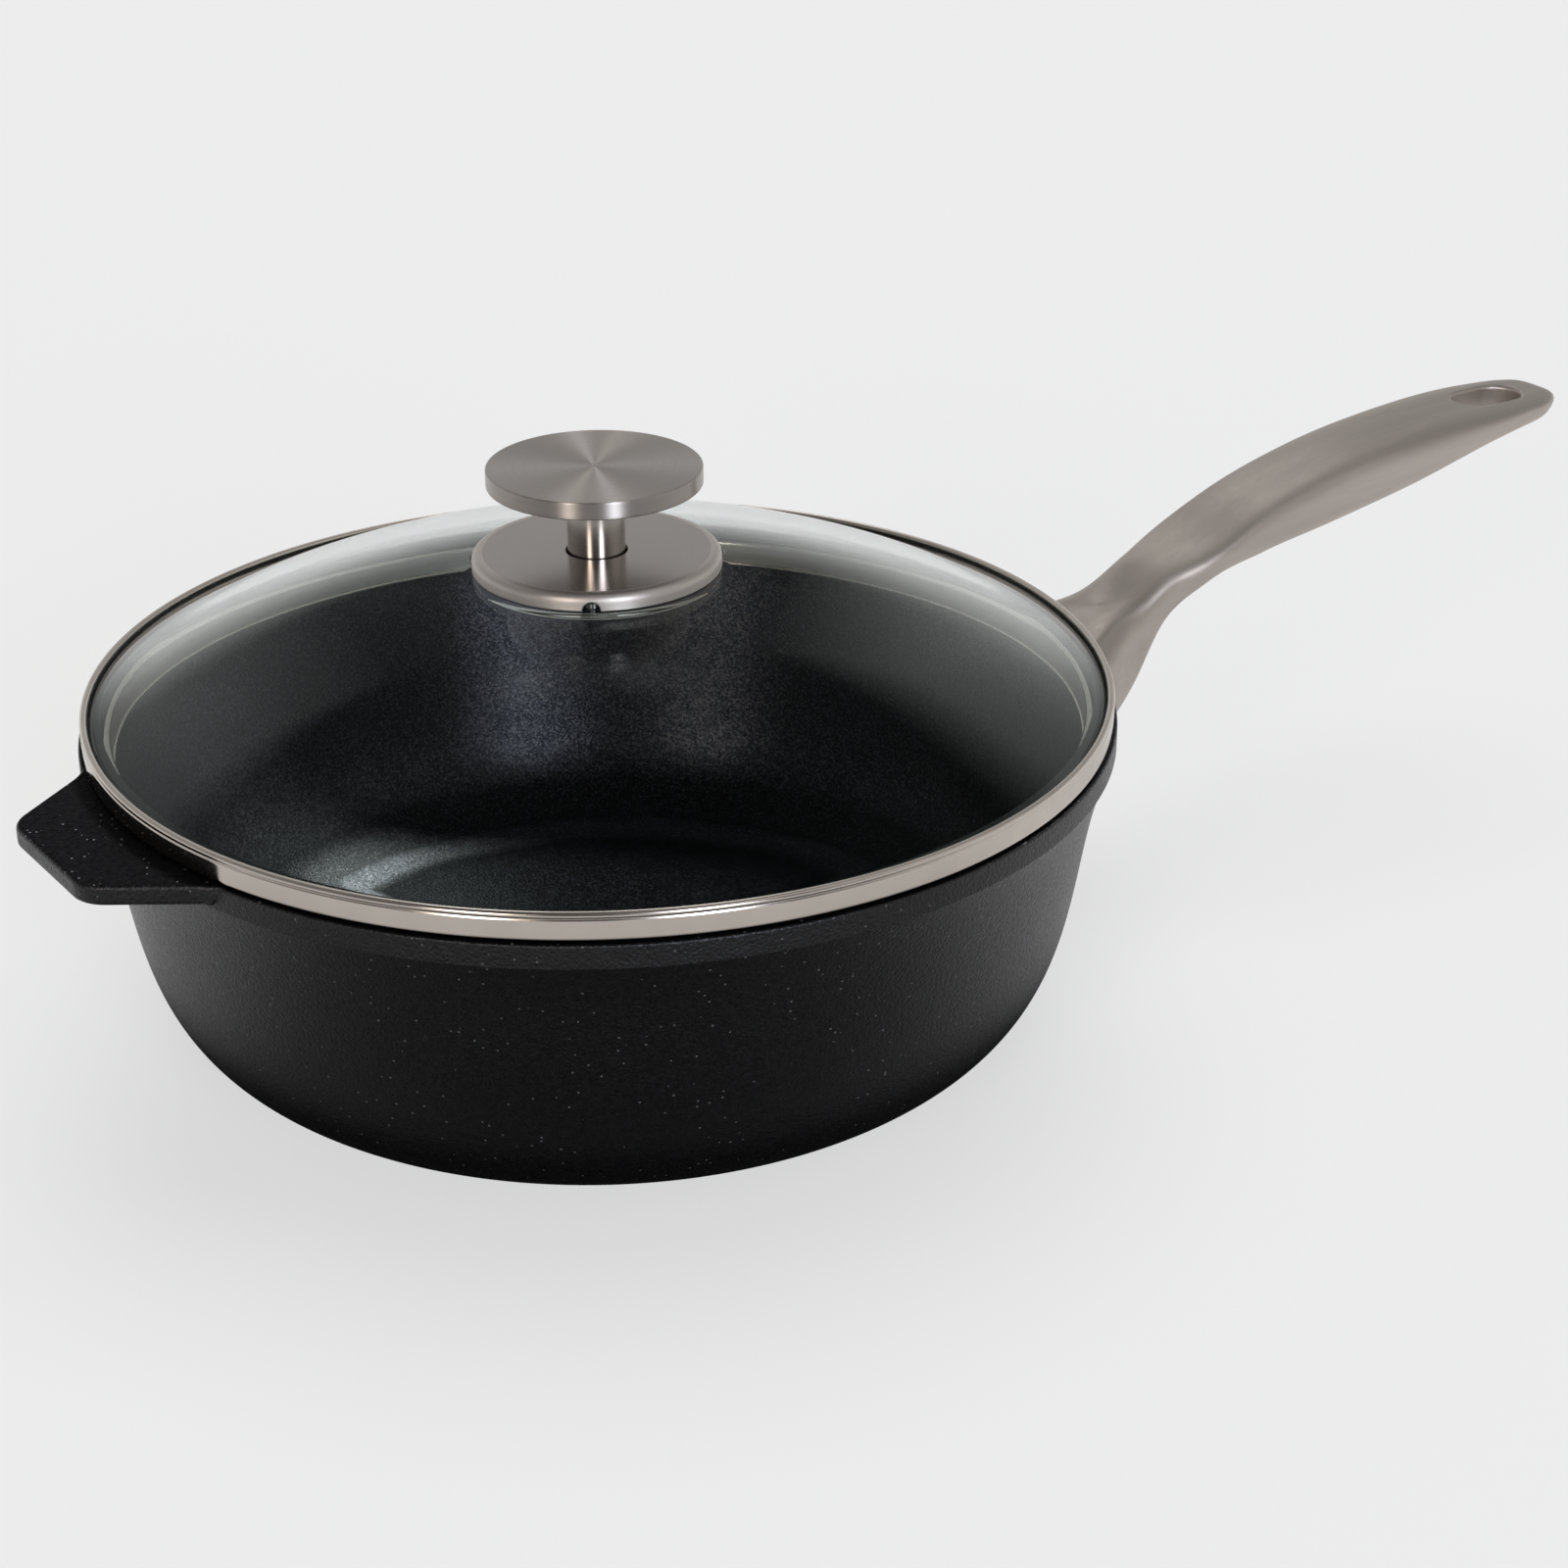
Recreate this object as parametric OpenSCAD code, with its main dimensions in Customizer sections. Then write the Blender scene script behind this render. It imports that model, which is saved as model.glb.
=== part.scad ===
// Saute pan with a glass lid: cast body, cast handle, vented lid knob.
// The origin is on the pan's axis at the plane it stands on.
// +X points along the handle and +Z points up. Sizes are in millimetres.

/* [Pan body] */
// Height from the standing plane to the top of the rim
pan_h = 93.5; // [80:0.5:110]
// Outer radius of the raised collar under the rim
rim_r = 145; // [138:0.5:160]
// Height of the collar
collar_h = 7; // [4:0.5:10]
// How far the collar stands out from the wall
collar_step = 0.8; // [0.4:0.1:2]
// Thickness of the cast wall
wall_t = 5; // [4:0.1:6.5]
// Thickness of the cast floor
floor_t = 6; // [5:0.1:8]
// Radius of the flat that the pan stands on
foot_r = 88; // [84:0.5:96]
// How far the wall's curve leans in below the collar
wall_lean = 14; // [8:0.5:20]
// Height over which the upper wall leans in
wall_lean_h = 33.7; // [25:0.1:40]
// How full the heel between wall and foot is
heel_full = 55; // [45:0.5:60]
// Chamfer on the rim's outer edge
rim_edge = 0.6; // [0.2:0.1:1]

/* [Helper tab] */
// How far the tab stands out past the rim
tab_reach = 22; // [16:0.5:30]
// Width of the tab across its outer corners
tab_w = 54; // [44:1:64]
// Width of the tab where it meets the collar
tab_root_w = 82; // [70:1:96]
// Radius of the tab's outer corners
tab_corner_r = 10; // [6:0.5:14]
// Thickness of the tab
tab_t = 5.5; // [4:0.1:6.5]

/* [Base plate] */
// Radius of the steel plate set into the base
plate_r = 80; // [70:0.5:83]
// Thickness of the plate
plate_t = 1; // [0.8:0.1:1.6]
// Distance between the plate's turned grooves
groove_pitch = 12; // [9:0.5:16]
// Depth of the turned grooves
groove_d = 0.3; // [0.2:0.05:0.5]

/* [Handle] */
// Distance from the rim to the tip of the handle
handle_reach = 227.5; // [200:0.5:240]
// Distance from the rim to the narrowest point of the neck
neck_reach = 55; // [50:1:60]
// Height of the handle's crest above the rim
crest_rise = 25; // [15:0.5:35]
// Drop from the rim to the top of the handle's root
root_drop = 14; // [12:0.5:18]
// Height of the handle's root
root_h = 32.5; // [31:0.5:36]
// Width of the root where it meets the wall
root_w = 72; // [66:1:80]
// Width of the neck
neck_w = 29.5; // [26:0.5:34]
// Height of the neck, measured upright
neck_t = 18.5; // [16:0.5:22]
// Width of the grip at its widest
grip_w = 40.5; // [34:0.5:44]
// Thickness of the grip at its middle
grip_t = 20.5; // [16:0.5:24]
// Width of the handle where the tip's round begins
tip_w = 31; // [26:0.5:36]
// Thickness of the handle at the tip
tip_t = 9; // [8:0.5:12]
// Thickness of metal round the hollow of the handle
grip_skin = 2.8; // [2:0.1:3.5]
// Length of the hanging hole along the handle
hole_l = 26; // [20:0.5:32]
// Width of the hanging hole
hole_w = 15; // [10:0.5:17]
// Distance from the tip to the middle of the hanging hole
hole_back = 26.5; // [24:0.5:34]

/* [Handle fixing] */
// Width of the cast lug inside the handle's root
lug_w = 36; // [26:0.5:40]
// Height of the lug
lug_h = 18; // [14:0.5:18.5]
// How far the lug reaches past the rim
lug_reach = 19.5; // [18:0.5:22]
// Drop from the rim to the top of the lug
lug_drop = 20; // [19.5:0.5:21]
// Distance between the two handle screws
screw_pitch = 12.5; // [12:0.1:13]
// Radius of a handle screw's shank
screw_r = 3; // [2.5:0.1:3.2]
// Radius of a handle screw's head
screw_head_r = 5; // [4.5:0.1:5.3]
// Height of a handle screw's head
screw_head_h = 3.8; // [3:0.1:4.4]
// Depth of handle metal between lug and washer
screw_seat = 3.5; // [3:0.1:4.5]
// Thickness of a spring washer
washer_t = 1.2; // [0.8:0.1:1.6]

/* [Lid ring] */
// How far the ring sits in from the collar
ring_inset = 1; // [0.5:0.1:2]
// Thickness of the ring's sheet
ring_t = 0.6; // [0.5:0.05:0.8]
// Height of the ring's upright face
ring_face_h = 5.1; // [4:0.1:6.5]
// Radius of the ring's lower corner
ring_corner_r = 1; // [0.8:0.05:1.3]
// Radius of the rolled bead on top of the ring
bead_r = 1.05; // [0.9:0.05:1.3]
// Depth of the skirt that hangs inside the rim
skirt_h = 8; // [5:0.5:12]
// Play between the skirt and the pan's inside
skirt_play = 4; // [2:0.5:6]

/* [Glass] */
// Thickness of the glass
glass_t = 4; // [3.5:0.1:4.5]
// Rise of the dome above the ring
dome_rise = 38; // [30:0.5:46]
// Extra fullness of the dome's shoulder
shoulder_lift = 0.8; // [0.4:0.1:1]
// Width of the dome's shoulder
shoulder_w = 15; // [10:0.5:25]
// Height of the bonding bed under the glass edge
bond_h = 3; // [2.5:0.1:3.6]
// Radius of the hole in the middle of the glass
glass_hole_r = 6; // [5:0.1:7]

/* [Knob] */
// Radius of the knob's disc
disc_r = 29.8; // [24:0.1:34]
// Thickness of the knob's disc
disc_t = 5; // [4:0.1:7]
// Chamfer on the disc's edges
disc_edge = 0.4; // [0.2:0.1:0.8]
// Radius of the knob's post
post_r = 8; // [7.5:0.1:9]
// Visible length of the post
post_l = 19.3; // [16:0.1:26]
// Radius of the bolt through the knob
bolt_r = 3; // [2.5:0.1:3.2]
// Radius of the bolt's head
bolt_head_r = 5; // [4.5:0.1:6]
// Height of the bolt's head
bolt_head_h = 3.5; // [3:0.1:5]

/* [Steam vent] */
// Radius of the vent cover
cover_r = 34.6; // [32:0.1:38]
// Height of the vent cover
cover_h = 4.7; // [4.6:0.1:6]
// Thickness of the vent cover's steel
cover_t = 1.2; // [1:0.05:1.3]
// Radius of the cover's rolled edge
cover_edge_r = 1.8; // [1.3:0.1:2]
// Gap round the post in the vent cover
post_gap = 0.6; // [0.4:0.05:0.8]
// Radius of the steam notch in the cover
notch_r = 2.4; // [1.8:0.1:2.8]
// Direction of the steam notch, measured from +X
notch_angle = -124; // [-180:1:180]
// Radius of the steam hole in the glass
steam_r = 2.5; // [1.5:0.1:3]
// Distance of the steam hole from the axis
steam_reach = 26; // [20:0.5:27]
// Thickness of the slider under the vent cover
slider_t = 1.5; // [1.2:0.05:1.6]

/* [Fits] */
// Gap between the lid and the rim it rests on
seat_gap = 0.2; // [0.1:0.05:0.3]
// Gap between the handle's root and the wall
root_gap = 0.15; // [0.1:0.05:0.3]
// Gap round the lug in its socket
lug_gap = 0.15; // [0.1:0.05:0.3]
// Gap between stacked parts of the lid
stack_gap = 0.05; // [0.03:0.01:0.08]
// Radial play of a screw in its thread
thread_gap = 0.05; // [0.03:0.01:0.1]
// Gap between the vent cover and the glass
cover_lift = 0.25; // [0.2:0.05:0.4]

/* [Hidden] */
$fn = 96;
wall_steps = 22;
dome_steps = 20;
handle_steps = 44;
handle_sides = 28;
far = 400;

// Outline of the cast wall: one cubic curve from the collar to the foot
wall_top_r = rim_r - collar_step;
wall_top_z = pan_h - collar_h;
wall_ctrl = [
    [wall_top_r, wall_top_z],
    [wall_top_r - wall_lean, wall_top_z - wall_lean_h],
    [foot_r + heel_full, 0],
    [foot_r, 0]
];
function curve(c, s) =
    pow(1 - s, 3) * c[0] + 3 * pow(1 - s, 2) * s * c[1] + 3 * (1 - s) * s * s * c[2] + pow(s, 3) * c[3];
function curve_dir(c, s) =
    3 * pow(1 - s, 2) * (c[1] - c[0]) + 6 * (1 - s) * s * (c[2] - c[1]) + 3 * s * s * (c[3] - c[2]);
function turned(v) = [v[1], -v[0]] / norm(v);
function wall_point(s, out) = curve(wall_ctrl, s) - out * turned(curve_dir(wall_ctrl, s));
function wall_points(out_top, out_foot) = [
    for (i = [0:wall_steps])
        let (s = i / wall_steps) wall_point(s, out_top + (out_foot - out_top) * s)
];
inner_wall = wall_points(-wall_t, -floor_t);
rim_in_r = inner_wall[0][0];

// Heights of the lid, from the ring's seat upwards
lid_z = pan_h + seat_gap;
ring_r = rim_r - ring_inset;
face_z = lid_z + ring_corner_r;
groove_z = face_z + ring_face_h;
bead_z = groove_z + 0.85 * bead_r;
skirt_r = rim_in_r - skirt_play;
flange_z = lid_z + ring_t;

// Dome of the glass: a paraboloid with a fuller shoulder and a flat land under the knob
edge_out_r = ring_r - ring_t - 1.4;
edge_r = edge_out_r - 1.2;
dome_edge_z = flange_z + bond_h + 2.4;
land_r = cover_r + 0.9;
function dome_z(r) =
    dome_edge_z + dome_rise * (1 - pow(r / edge_r, 2))
    + shoulder_lift * pow(max(0, (r - edge_r + shoulder_w) / shoulder_w), 2);
function dome_slope(r) =
    -2 * dome_rise * r / pow(edge_r, 2)
    + 2 * shoulder_lift * max(0, r - edge_r + shoulder_w) / pow(shoulder_w, 2);
function dome_point(r, out) = [r, dome_z(r)] + out * [-dome_slope(r), 1] / norm([dome_slope(r), 1]);
land_z = dome_z(land_r);
land_under_z = land_z - glass_t;

// Stack of the knob on the land
bush_flange_t = 0.7;
soft_washer_t = 1;
clamp_washer_t = 1;
friction_t = 0.4;
flange_r = post_r + 4;
post_flange_t = 1.1;
bush_r = glass_hole_r - 2 * stack_gap;
post_foot_z = land_z + bush_flange_t + 2 * stack_gap;
cover_z = land_z + cover_lift;
cover_top_z = cover_z + cover_h;
disc_z = cover_top_z + post_l;
slider_z = land_z + cover_lift - 0.05;
friction_z = slider_z + slider_t + stack_gap;
flange_low_z = friction_z + friction_t + stack_gap;
soft_washer_z = land_under_z - stack_gap - soft_washer_t;
clamp_washer_z = soft_washer_z - stack_gap - clamp_washer_t;
bolt_head_z = clamp_washer_z - stack_gap - bolt_head_h;
spigot_r = post_r - 2;
spigot_l = 5;
bolt_l = 1.5;

// Handle screws, below the lug
lug_end = rim_r + lug_reach;
lug_top_z = pan_h - lug_drop;
lug_low_z = lug_top_z - lug_h;
screw_x = [lug_end - 2 * screw_r - screw_pitch, lug_end - 2 * screw_r];
screw_seat_z = lug_low_z - lug_gap - screw_seat;
head_gap = 0.4;
shank_gap = 0.3;
screw_depth = 10.5;
screw_end_gap = 1;

// Stations of the handle: reach from the rim, top and bottom above the rim, half width,
// and the underside's share of that width
root_sink = 15;
root_run = 20;
root_sag = 1;
neck_run = 15;
neck_drop = 2.3;
neck_top_rise = 5.1;
neck_low_rise = 9.8;
neck_flare = 2.9;
tip_drop = 0.5;
grip_l = handle_reach - neck_reach;
stations = [
    [-root_sink, -root_drop, -root_drop - root_h, root_w / 2, 0.92],
    [root_run, -root_drop - root_sag, -root_drop - root_h - root_sag, 0.38 * root_w, 0.92],
    [neck_reach - neck_run, -0.71 * root_drop, -root_drop - 0.83 * root_h, 0.236 * root_w, 0.85],
    [neck_reach, -neck_drop, -neck_drop - neck_t, neck_w / 2, 0.74],
    [neck_reach + neck_run, neck_top_rise - neck_drop, neck_low_rise - neck_drop - neck_t,
        neck_w / 2 + neck_flare, 0.68],
    [neck_reach + 0.23 * grip_l, 0.52 * crest_rise, 0.52 * crest_rise - 0.93 * grip_t, 0.455 * grip_w, 0.66],
    [neck_reach + 0.405 * grip_l, 0.82 * crest_rise, 0.9 * crest_rise - 1.19 * grip_t, 0.475 * grip_w, 0.66],
    [neck_reach + 0.607 * grip_l, 0.97 * crest_rise, 0.99 * crest_rise - grip_t, grip_w / 2, 0.66],
    [neck_reach + 0.809 * grip_l, crest_rise, crest_rise - 0.425 * (grip_t + tip_t), 0.49 * grip_w, 0.66],
    [neck_reach + 0.96 * grip_l, crest_rise - tip_drop, crest_rise - tip_drop - tip_t, tip_w / 2, 0.66]
];
last = len(stations) - 1;
function secant(i, k) = (stations[i + 1][k] - stations[i][k]) / (stations[i + 1][0] - stations[i][0]);
function gap_at(i) = stations[i + 1][0] - stations[i][0];
function slope_at(i, k) =
    i == 0 ? secant(0, k) :
    i == last ? secant(last - 1, k) :
    (secant(i - 1, k) * gap_at(i) + secant(i, k) * gap_at(i - 1)) / (gap_at(i) + gap_at(i - 1));
function span_of(x, i = 0) = i == last - 1 || x < stations[i + 1][0] ? i : span_of(x, i + 1);
function station(x, k) =
    let (i = span_of(x), d = gap_at(i), t = (x - stations[i][0]) / d)
    (2 * pow(t, 3) - 3 * t * t + 1) * stations[i][k] + (pow(t, 3) - 2 * t * t + t) * d * slope_at(i, k)
    + (3 * t * t - 2 * pow(t, 3)) * stations[i + 1][k] + (pow(t, 3) - t * t) * d * slope_at(i + 1, k);

// Round of the tip in plan and in thickness
tip_round_l = 16;
tip_edge_l = 6;
function round_off(x, l, p) = pow(max(0, 1 - pow(max(0, (x - handle_reach + l) / l), p)), 1 / 2);
function ring_reach(i) =
    let (straight = handle_steps - 10)
    i <= straight
        ? stations[0][0] + (handle_reach - tip_round_l - stations[0][0]) * i / straight
        : handle_reach - tip_round_l * (1 - sin(89 * (i - straight) / (handle_steps - straight)));

// Cross-section of the handle: a superellipse drawn in towards its underside
section_power = 2.8;
function power_of(v) = sign(v) * pow(abs(v), 2 / section_power);
function section_point(a, share) =
    let (h = (power_of(sin(a)) + 1) / 2) [power_of(cos(a)) * (share + (1 - share) * h), h];
function handle_ring(x, sides, skin) =
    let (
        top = station(x, 1), low = station(x, 2), mid = (top + low) / 2,
        w = station(x, 3) * round_off(x, tip_round_l, 2.3) - skin,
        t = (top - low) * round_off(x, tip_edge_l, 2) - 2 * skin
    )
    [for (j = [0:sides - 1])
        let (p = section_point(360 * j / sides, station(x, 4)))
        [rim_r + x, w * p[0], pan_h + mid + t * (p[1] - 0.5)]];
function ring_index(i, j, sides) = i * sides + j % sides;
function skin_faces(steps, sides) = concat(
    [for (i = [0:steps - 1], j = [0:sides - 1])
        [ring_index(i, j, sides), ring_index(i + 1, j + 1, sides), ring_index(i, j + 1, sides)]],
    [for (i = [0:steps - 1], j = [0:sides - 1])
        [ring_index(i, j, sides), ring_index(i + 1, j, sides), ring_index(i + 1, j + 1, sides)]],
    [[for (j = [0:sides - 1]) j]],
    [[for (j = [sides - 1:-1:0]) ring_index(steps, j, sides)]]
);

// The handle is cast hollow between the lug's socket and the hanging hole
hollow_steps = 20;
hollow_sides = 16;
hollow_from = lug_reach + 2 * grip_skin;
hollow_to = handle_reach - hole_back - hole_l / 2 - 3 * grip_skin;
function hollow_reach(i) = hollow_from + (hollow_to - hollow_from) * i / hollow_steps;
core_r = 3;

// Bar with a bore, standing on z
module sleeve(r_out, r_in, z, h) {
    translate([0, 0, z]) difference() {
        cylinder(r = r_out, h = h);
        translate([0, 0, -1]) cylinder(r = r_in, h = h + 2);
    }
}

module wall_section() {
    polygon(concat(
        [[0, 0]],
        [[0, floor_t]],
        [for (i = [wall_steps:-1:0]) inner_wall[i]],
        [[rim_in_r, pan_h], [rim_r - rim_edge, pan_h], [rim_r, pan_h - rim_edge], [rim_r, wall_top_z]],
        wall_points(0, 0)
    ));
}

// Plan of the tab: a flared root whose sides end just inside the two round corners
tab_bite = 0.05;
module tab_plan() {
    corner = [rim_r + tab_reach - tab_corner_r, tab_w / 2 - tab_corner_r];
    root = [sqrt(pow(rim_r, 2) - pow(tab_root_w / 2, 2)), tab_root_w / 2];
    d = norm(root - corner);
    a = atan2(root[1] - corner[1], root[0] - corner[0]) - acos(tab_corner_r / d);
    touch = corner + (tab_corner_r - tab_bite) * [cos(a), sin(a)];
    for (m = [0, 1]) mirror([0, m]) {
        translate(corner) circle(r = tab_corner_r);
        polygon([[root[0] - 3, 0], [root[0] - 3, root[1]], root, touch, corner, [corner[0], 0]]);
        translate([corner[0] - 1, 0]) square([tab_corner_r + 1, corner[1]]);
    }
}

module lug() {
    translate([wall_top_r - 2 * wall_t, -lug_w / 2, lug_low_z])
        cube([lug_end - wall_top_r + 2 * wall_t, lug_w, lug_h]);
}

// Everything inside the wall's outer face, grown by g
module pan_room(g) {
    rotate_extrude() polygon(concat(
        [[0, -1], [0, pan_h + 1], [rim_r + g, pan_h + 1], [rim_r + g, wall_top_z - g]],
        wall_points(g, g),
        [[foot_r, -1]]
    ));
}

// Hollow of the pan, used to trim what is cast onto the wall
module pan_hollow() {
    rotate_extrude() polygon(concat(
        [[0, pan_h + 1], [0, floor_t]],
        [for (i = [wall_steps:-1:0]) inner_wall[i]],
        [[rim_in_r, pan_h + 1]]
    ));
}

module pan_body() {
    color([0.09, 0.09, 0.1]) difference() {
        union() {
            rotate_extrude() wall_section();
            difference() {
                union() {
                    rotate([0, 0, 180]) translate([0, 0, pan_h - tab_t])
                        linear_extrude(height = tab_t) tab_plan();
                    lug();
                }
                pan_hollow();
            }
        }
        translate([0, 0, -1]) cylinder(r = plate_r + thread_gap, h = plate_t + 1 + stack_gap);
        for (x = screw_x) translate([x, 0, lug_low_z - 1])
            cylinder(r = screw_r + thread_gap, h = screw_depth + 1);
    }
}

module induction_plate() {
    color([0.7, 0.7, 0.7]) difference() {
        cylinder(r = plate_r, h = plate_t);
        for (r = [groove_pitch:groove_pitch:plate_r - groove_pitch / 2])
            translate([0, 0, -1]) difference() {
                cylinder(r = r + 0.5, h = 1 + groove_d);
                translate([0, 0, -1]) cylinder(r = r - 0.5, h = 3 + groove_d);
            }
    }
}

module handle_blank() {
    polyhedron(
        points = [for (i = [0:handle_steps]) each handle_ring(ring_reach(i), handle_sides, 0)],
        faces = skin_faces(handle_steps, handle_sides)
    );
}

// Hollow of the handle, with the core's passage from the lug's socket
module grip_hollow() {
    polyhedron(
        points = [for (i = [0:hollow_steps]) each handle_ring(hollow_reach(i), hollow_sides, grip_skin)],
        faces = skin_faces(hollow_steps, hollow_sides)
    );
    translate([lug_end, 0, (lug_top_z + lug_low_z) / 2]) rotate([0, 90, 0])
        cylinder(r = core_r, h = hollow_from - lug_reach + grip_skin);
}

module hanging_hole() {
    translate([rim_r + handle_reach - hole_back, 0, pan_h - far / 2]) {
        for (m = [-1, 1]) translate([m * (hole_l - hole_w) / 2, 0, 0]) cylinder(r = hole_w / 2, h = far);
        translate([-(hole_l - hole_w) / 2, -hole_w / 2, 0]) cube([hole_l - hole_w, hole_w, far]);
    }
}

module lug_socket() {
    translate([rim_r - far / 4, -lug_w / 2 - lug_gap, lug_low_z - lug_gap])
        cube([lug_end - rim_r + far / 4 + lug_gap, lug_w + 2 * lug_gap, lug_h + 2 * lug_gap]);
}

module handle() {
    color([0.61, 0.58, 0.56]) difference() {
        handle_blank();
        grip_hollow();
        pan_room(root_gap);
        lug_socket();
        hanging_hole();
        for (x = screw_x) translate([x, 0, 0]) {
            cylinder(r = screw_head_r + head_gap, h = screw_seat_z);
            cylinder(r = screw_r + shank_gap, h = lug_low_z + 1);
        }
    }
}

module handle_screws() {
    head_z = screw_seat_z - washer_t - screw_head_h - 2 * stack_gap;
    color([0.55, 0.55, 0.56]) for (x = screw_x) translate([x, 0, head_z]) difference() {
        union() {
            cylinder(r = screw_head_r, h = screw_head_h);
            cylinder(r = screw_r, h = lug_low_z + screw_depth - screw_end_gap - head_z);
        }
        translate([0, 0, -1]) cylinder(r = screw_head_r / 2, h = 1 + screw_head_h / 2, $fn = 6);
    }
}

module handle_washers() {
    color([0.6, 0.6, 0.6]) for (x = screw_x) translate([x, 0, 0])
        sleeve(screw_head_r, screw_r + 0.2, screw_seat_z - washer_t - stack_gap, washer_t);
}

// Section of the ring: skirt, seat, upright face and rolled bead
module ring_section() {
    translate([skirt_r - ring_t, flange_z - ring_t - skirt_h]) square([ring_t, skirt_h + ring_t]);
    translate([skirt_r - ring_t, lid_z]) square([ring_r - ring_corner_r - skirt_r + ring_t, ring_t]);
    intersection() {
        translate([ring_r - ring_corner_r, face_z]) difference() {
            circle(r = ring_corner_r);
            circle(r = ring_corner_r - ring_t);
        }
        translate([ring_r - ring_corner_r, lid_z]) square([ring_corner_r, ring_corner_r]);
    }
    translate([ring_r - ring_t, face_z]) square([ring_t, bead_z - face_z]);
    translate([ring_r - bead_r, bead_z]) circle(r = bead_r);
}

module lid_ring() {
    color([0.75, 0.72, 0.69]) rotate_extrude() ring_section();
}

// Section of the glass with its ground round edge, grown by g
module glass_section(g) {
    reach = [for (i = [0:dome_steps]) land_r + (edge_r - land_r) * i / dome_steps];
    tilt = atan(dome_slope(edge_r));
    polygon(concat(
        [[0, land_under_z - g], [0, land_z + g], [land_r - 0.5, land_z + g]],
        [for (r = reach) dome_point(r, g)],
        [for (a = [75:-15:-75])
            dome_point(edge_r, -glass_t / 2) + (glass_t / 2 + g) * [cos(a + tilt), sin(a + tilt)]],
        [for (i = [dome_steps:-1:0]) dome_point(reach[i], -glass_t - g)],
        [[land_r - 3, land_under_z - g]]
    ));
}

module lid_glass() {
    color([0.72, 0.8, 0.78, 0.4]) difference() {
        rotate_extrude() glass_section(0);
        translate([0, 0, land_under_z - 1]) cylinder(r = glass_hole_r, h = glass_t + 2);
        rotate([0, 0, notch_angle]) translate([steam_reach, 0, land_under_z - 1])
            cylinder(r = steam_r, h = glass_t + 2);
    }
}

// Bed of silicone between glass and ring
module bonding_seal() {
    low = flange_z + stack_gap;
    color([0.16, 0.16, 0.16]) rotate_extrude() difference() {
        translate([edge_out_r - 3.2, low])
            square([ring_r - ring_t - stack_gap - edge_out_r + 3.2, bead_z - low]);
        glass_section(stack_gap);
        translate([ring_r - bead_r, bead_z]) circle(r = bead_r + stack_gap);
    }
}

module knob_bush() {
    color([0.2, 0.2, 0.2]) {
        sleeve(post_r - 0.2, bolt_r + 0.2, land_z + stack_gap, bush_flange_t);
        sleeve(bush_r, bolt_r + 0.2, land_under_z, glass_t + stack_gap + bush_flange_t / 2);
    }
}

module soft_washer() {
    color([0.2, 0.2, 0.2]) sleeve(post_r + 1.5, bolt_r + 0.3, soft_washer_z, soft_washer_t);
}

module clamp_washer() {
    color([0.7, 0.7, 0.7]) sleeve(post_r + 1.5, bolt_r + 0.3, clamp_washer_z, clamp_washer_t);
}

module knob_bolt() {
    top = disc_z + bolt_l;
    color([0.62, 0.62, 0.62]) translate([0, 0, bolt_head_z]) difference() {
        union() {
            cylinder(r = bolt_head_r, h = bolt_head_h);
            cylinder(r = bolt_r, h = top - bolt_head_z);
        }
        translate([0, 0, -1]) cylinder(r = bolt_head_r / 2, h = 1 + bolt_head_h / 2, $fn = 6);
    }
}

module knob_post() {
    color([0.68, 0.65, 0.62]) difference() {
        union() {
            translate([0, 0, post_foot_z]) cylinder(r = post_r, h = disc_z - stack_gap - post_foot_z);
            translate([0, 0, flange_low_z]) cylinder(r = flange_r, h = post_flange_t);
        }
        translate([0, 0, post_foot_z - 1]) cylinder(r = bolt_r + 0.4, h = disc_z);
        translate([0, 0, disc_z - spigot_l - stack_gap]) cylinder(r = spigot_r + stack_gap, h = spigot_l + 1);
    }
}

module knob_disc() {
    color([0.52, 0.5, 0.48]) difference() {
        union() {
            rotate_extrude() polygon([
                [0, disc_z], [disc_r - disc_edge, disc_z], [disc_r, disc_z + disc_edge],
                [disc_r, disc_z + disc_t - disc_edge], [disc_r - disc_edge, disc_z + disc_t],
                [0, disc_z + disc_t]
            ]);
            translate([0, 0, disc_z - spigot_l]) cylinder(r = spigot_r, h = spigot_l + 1);
        }
        translate([0, 0, disc_z - spigot_l - 1])
            cylinder(r = bolt_r + thread_gap, h = spigot_l + 1 + bolt_l + 0.5);
    }
}

module friction_washer() {
    color([0.75, 0.75, 0.75]) sleeve(flange_r - 0.2, post_r + 0.2, friction_z, friction_t);
}

// Vent cover: a shallow cup turned over, with a rolled edge and a half-round notch
module vent_cover() {
    color([0.58, 0.56, 0.54]) difference() {
        translate([0, 0, cover_z]) rotate_extrude() difference() {
            union() {
                square([cover_r - cover_edge_r, cover_h]);
                square([cover_r, cover_h - cover_edge_r]);
                translate([cover_r - cover_edge_r, cover_h - cover_edge_r]) circle(r = cover_edge_r);
            }
            translate([-1, -1]) square([cover_r - cover_t + 1, cover_h - cover_t + 1]);
            translate([-1, -1]) square([post_r + post_gap + 1, cover_h + 2]);
        }
        rotate([0, 0, notch_angle]) translate([cover_r - 3 * cover_t, 0, cover_z])
            rotate([0, 90, 0]) cylinder(r = notch_r, h = 6 * cover_t);
    }
}

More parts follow.
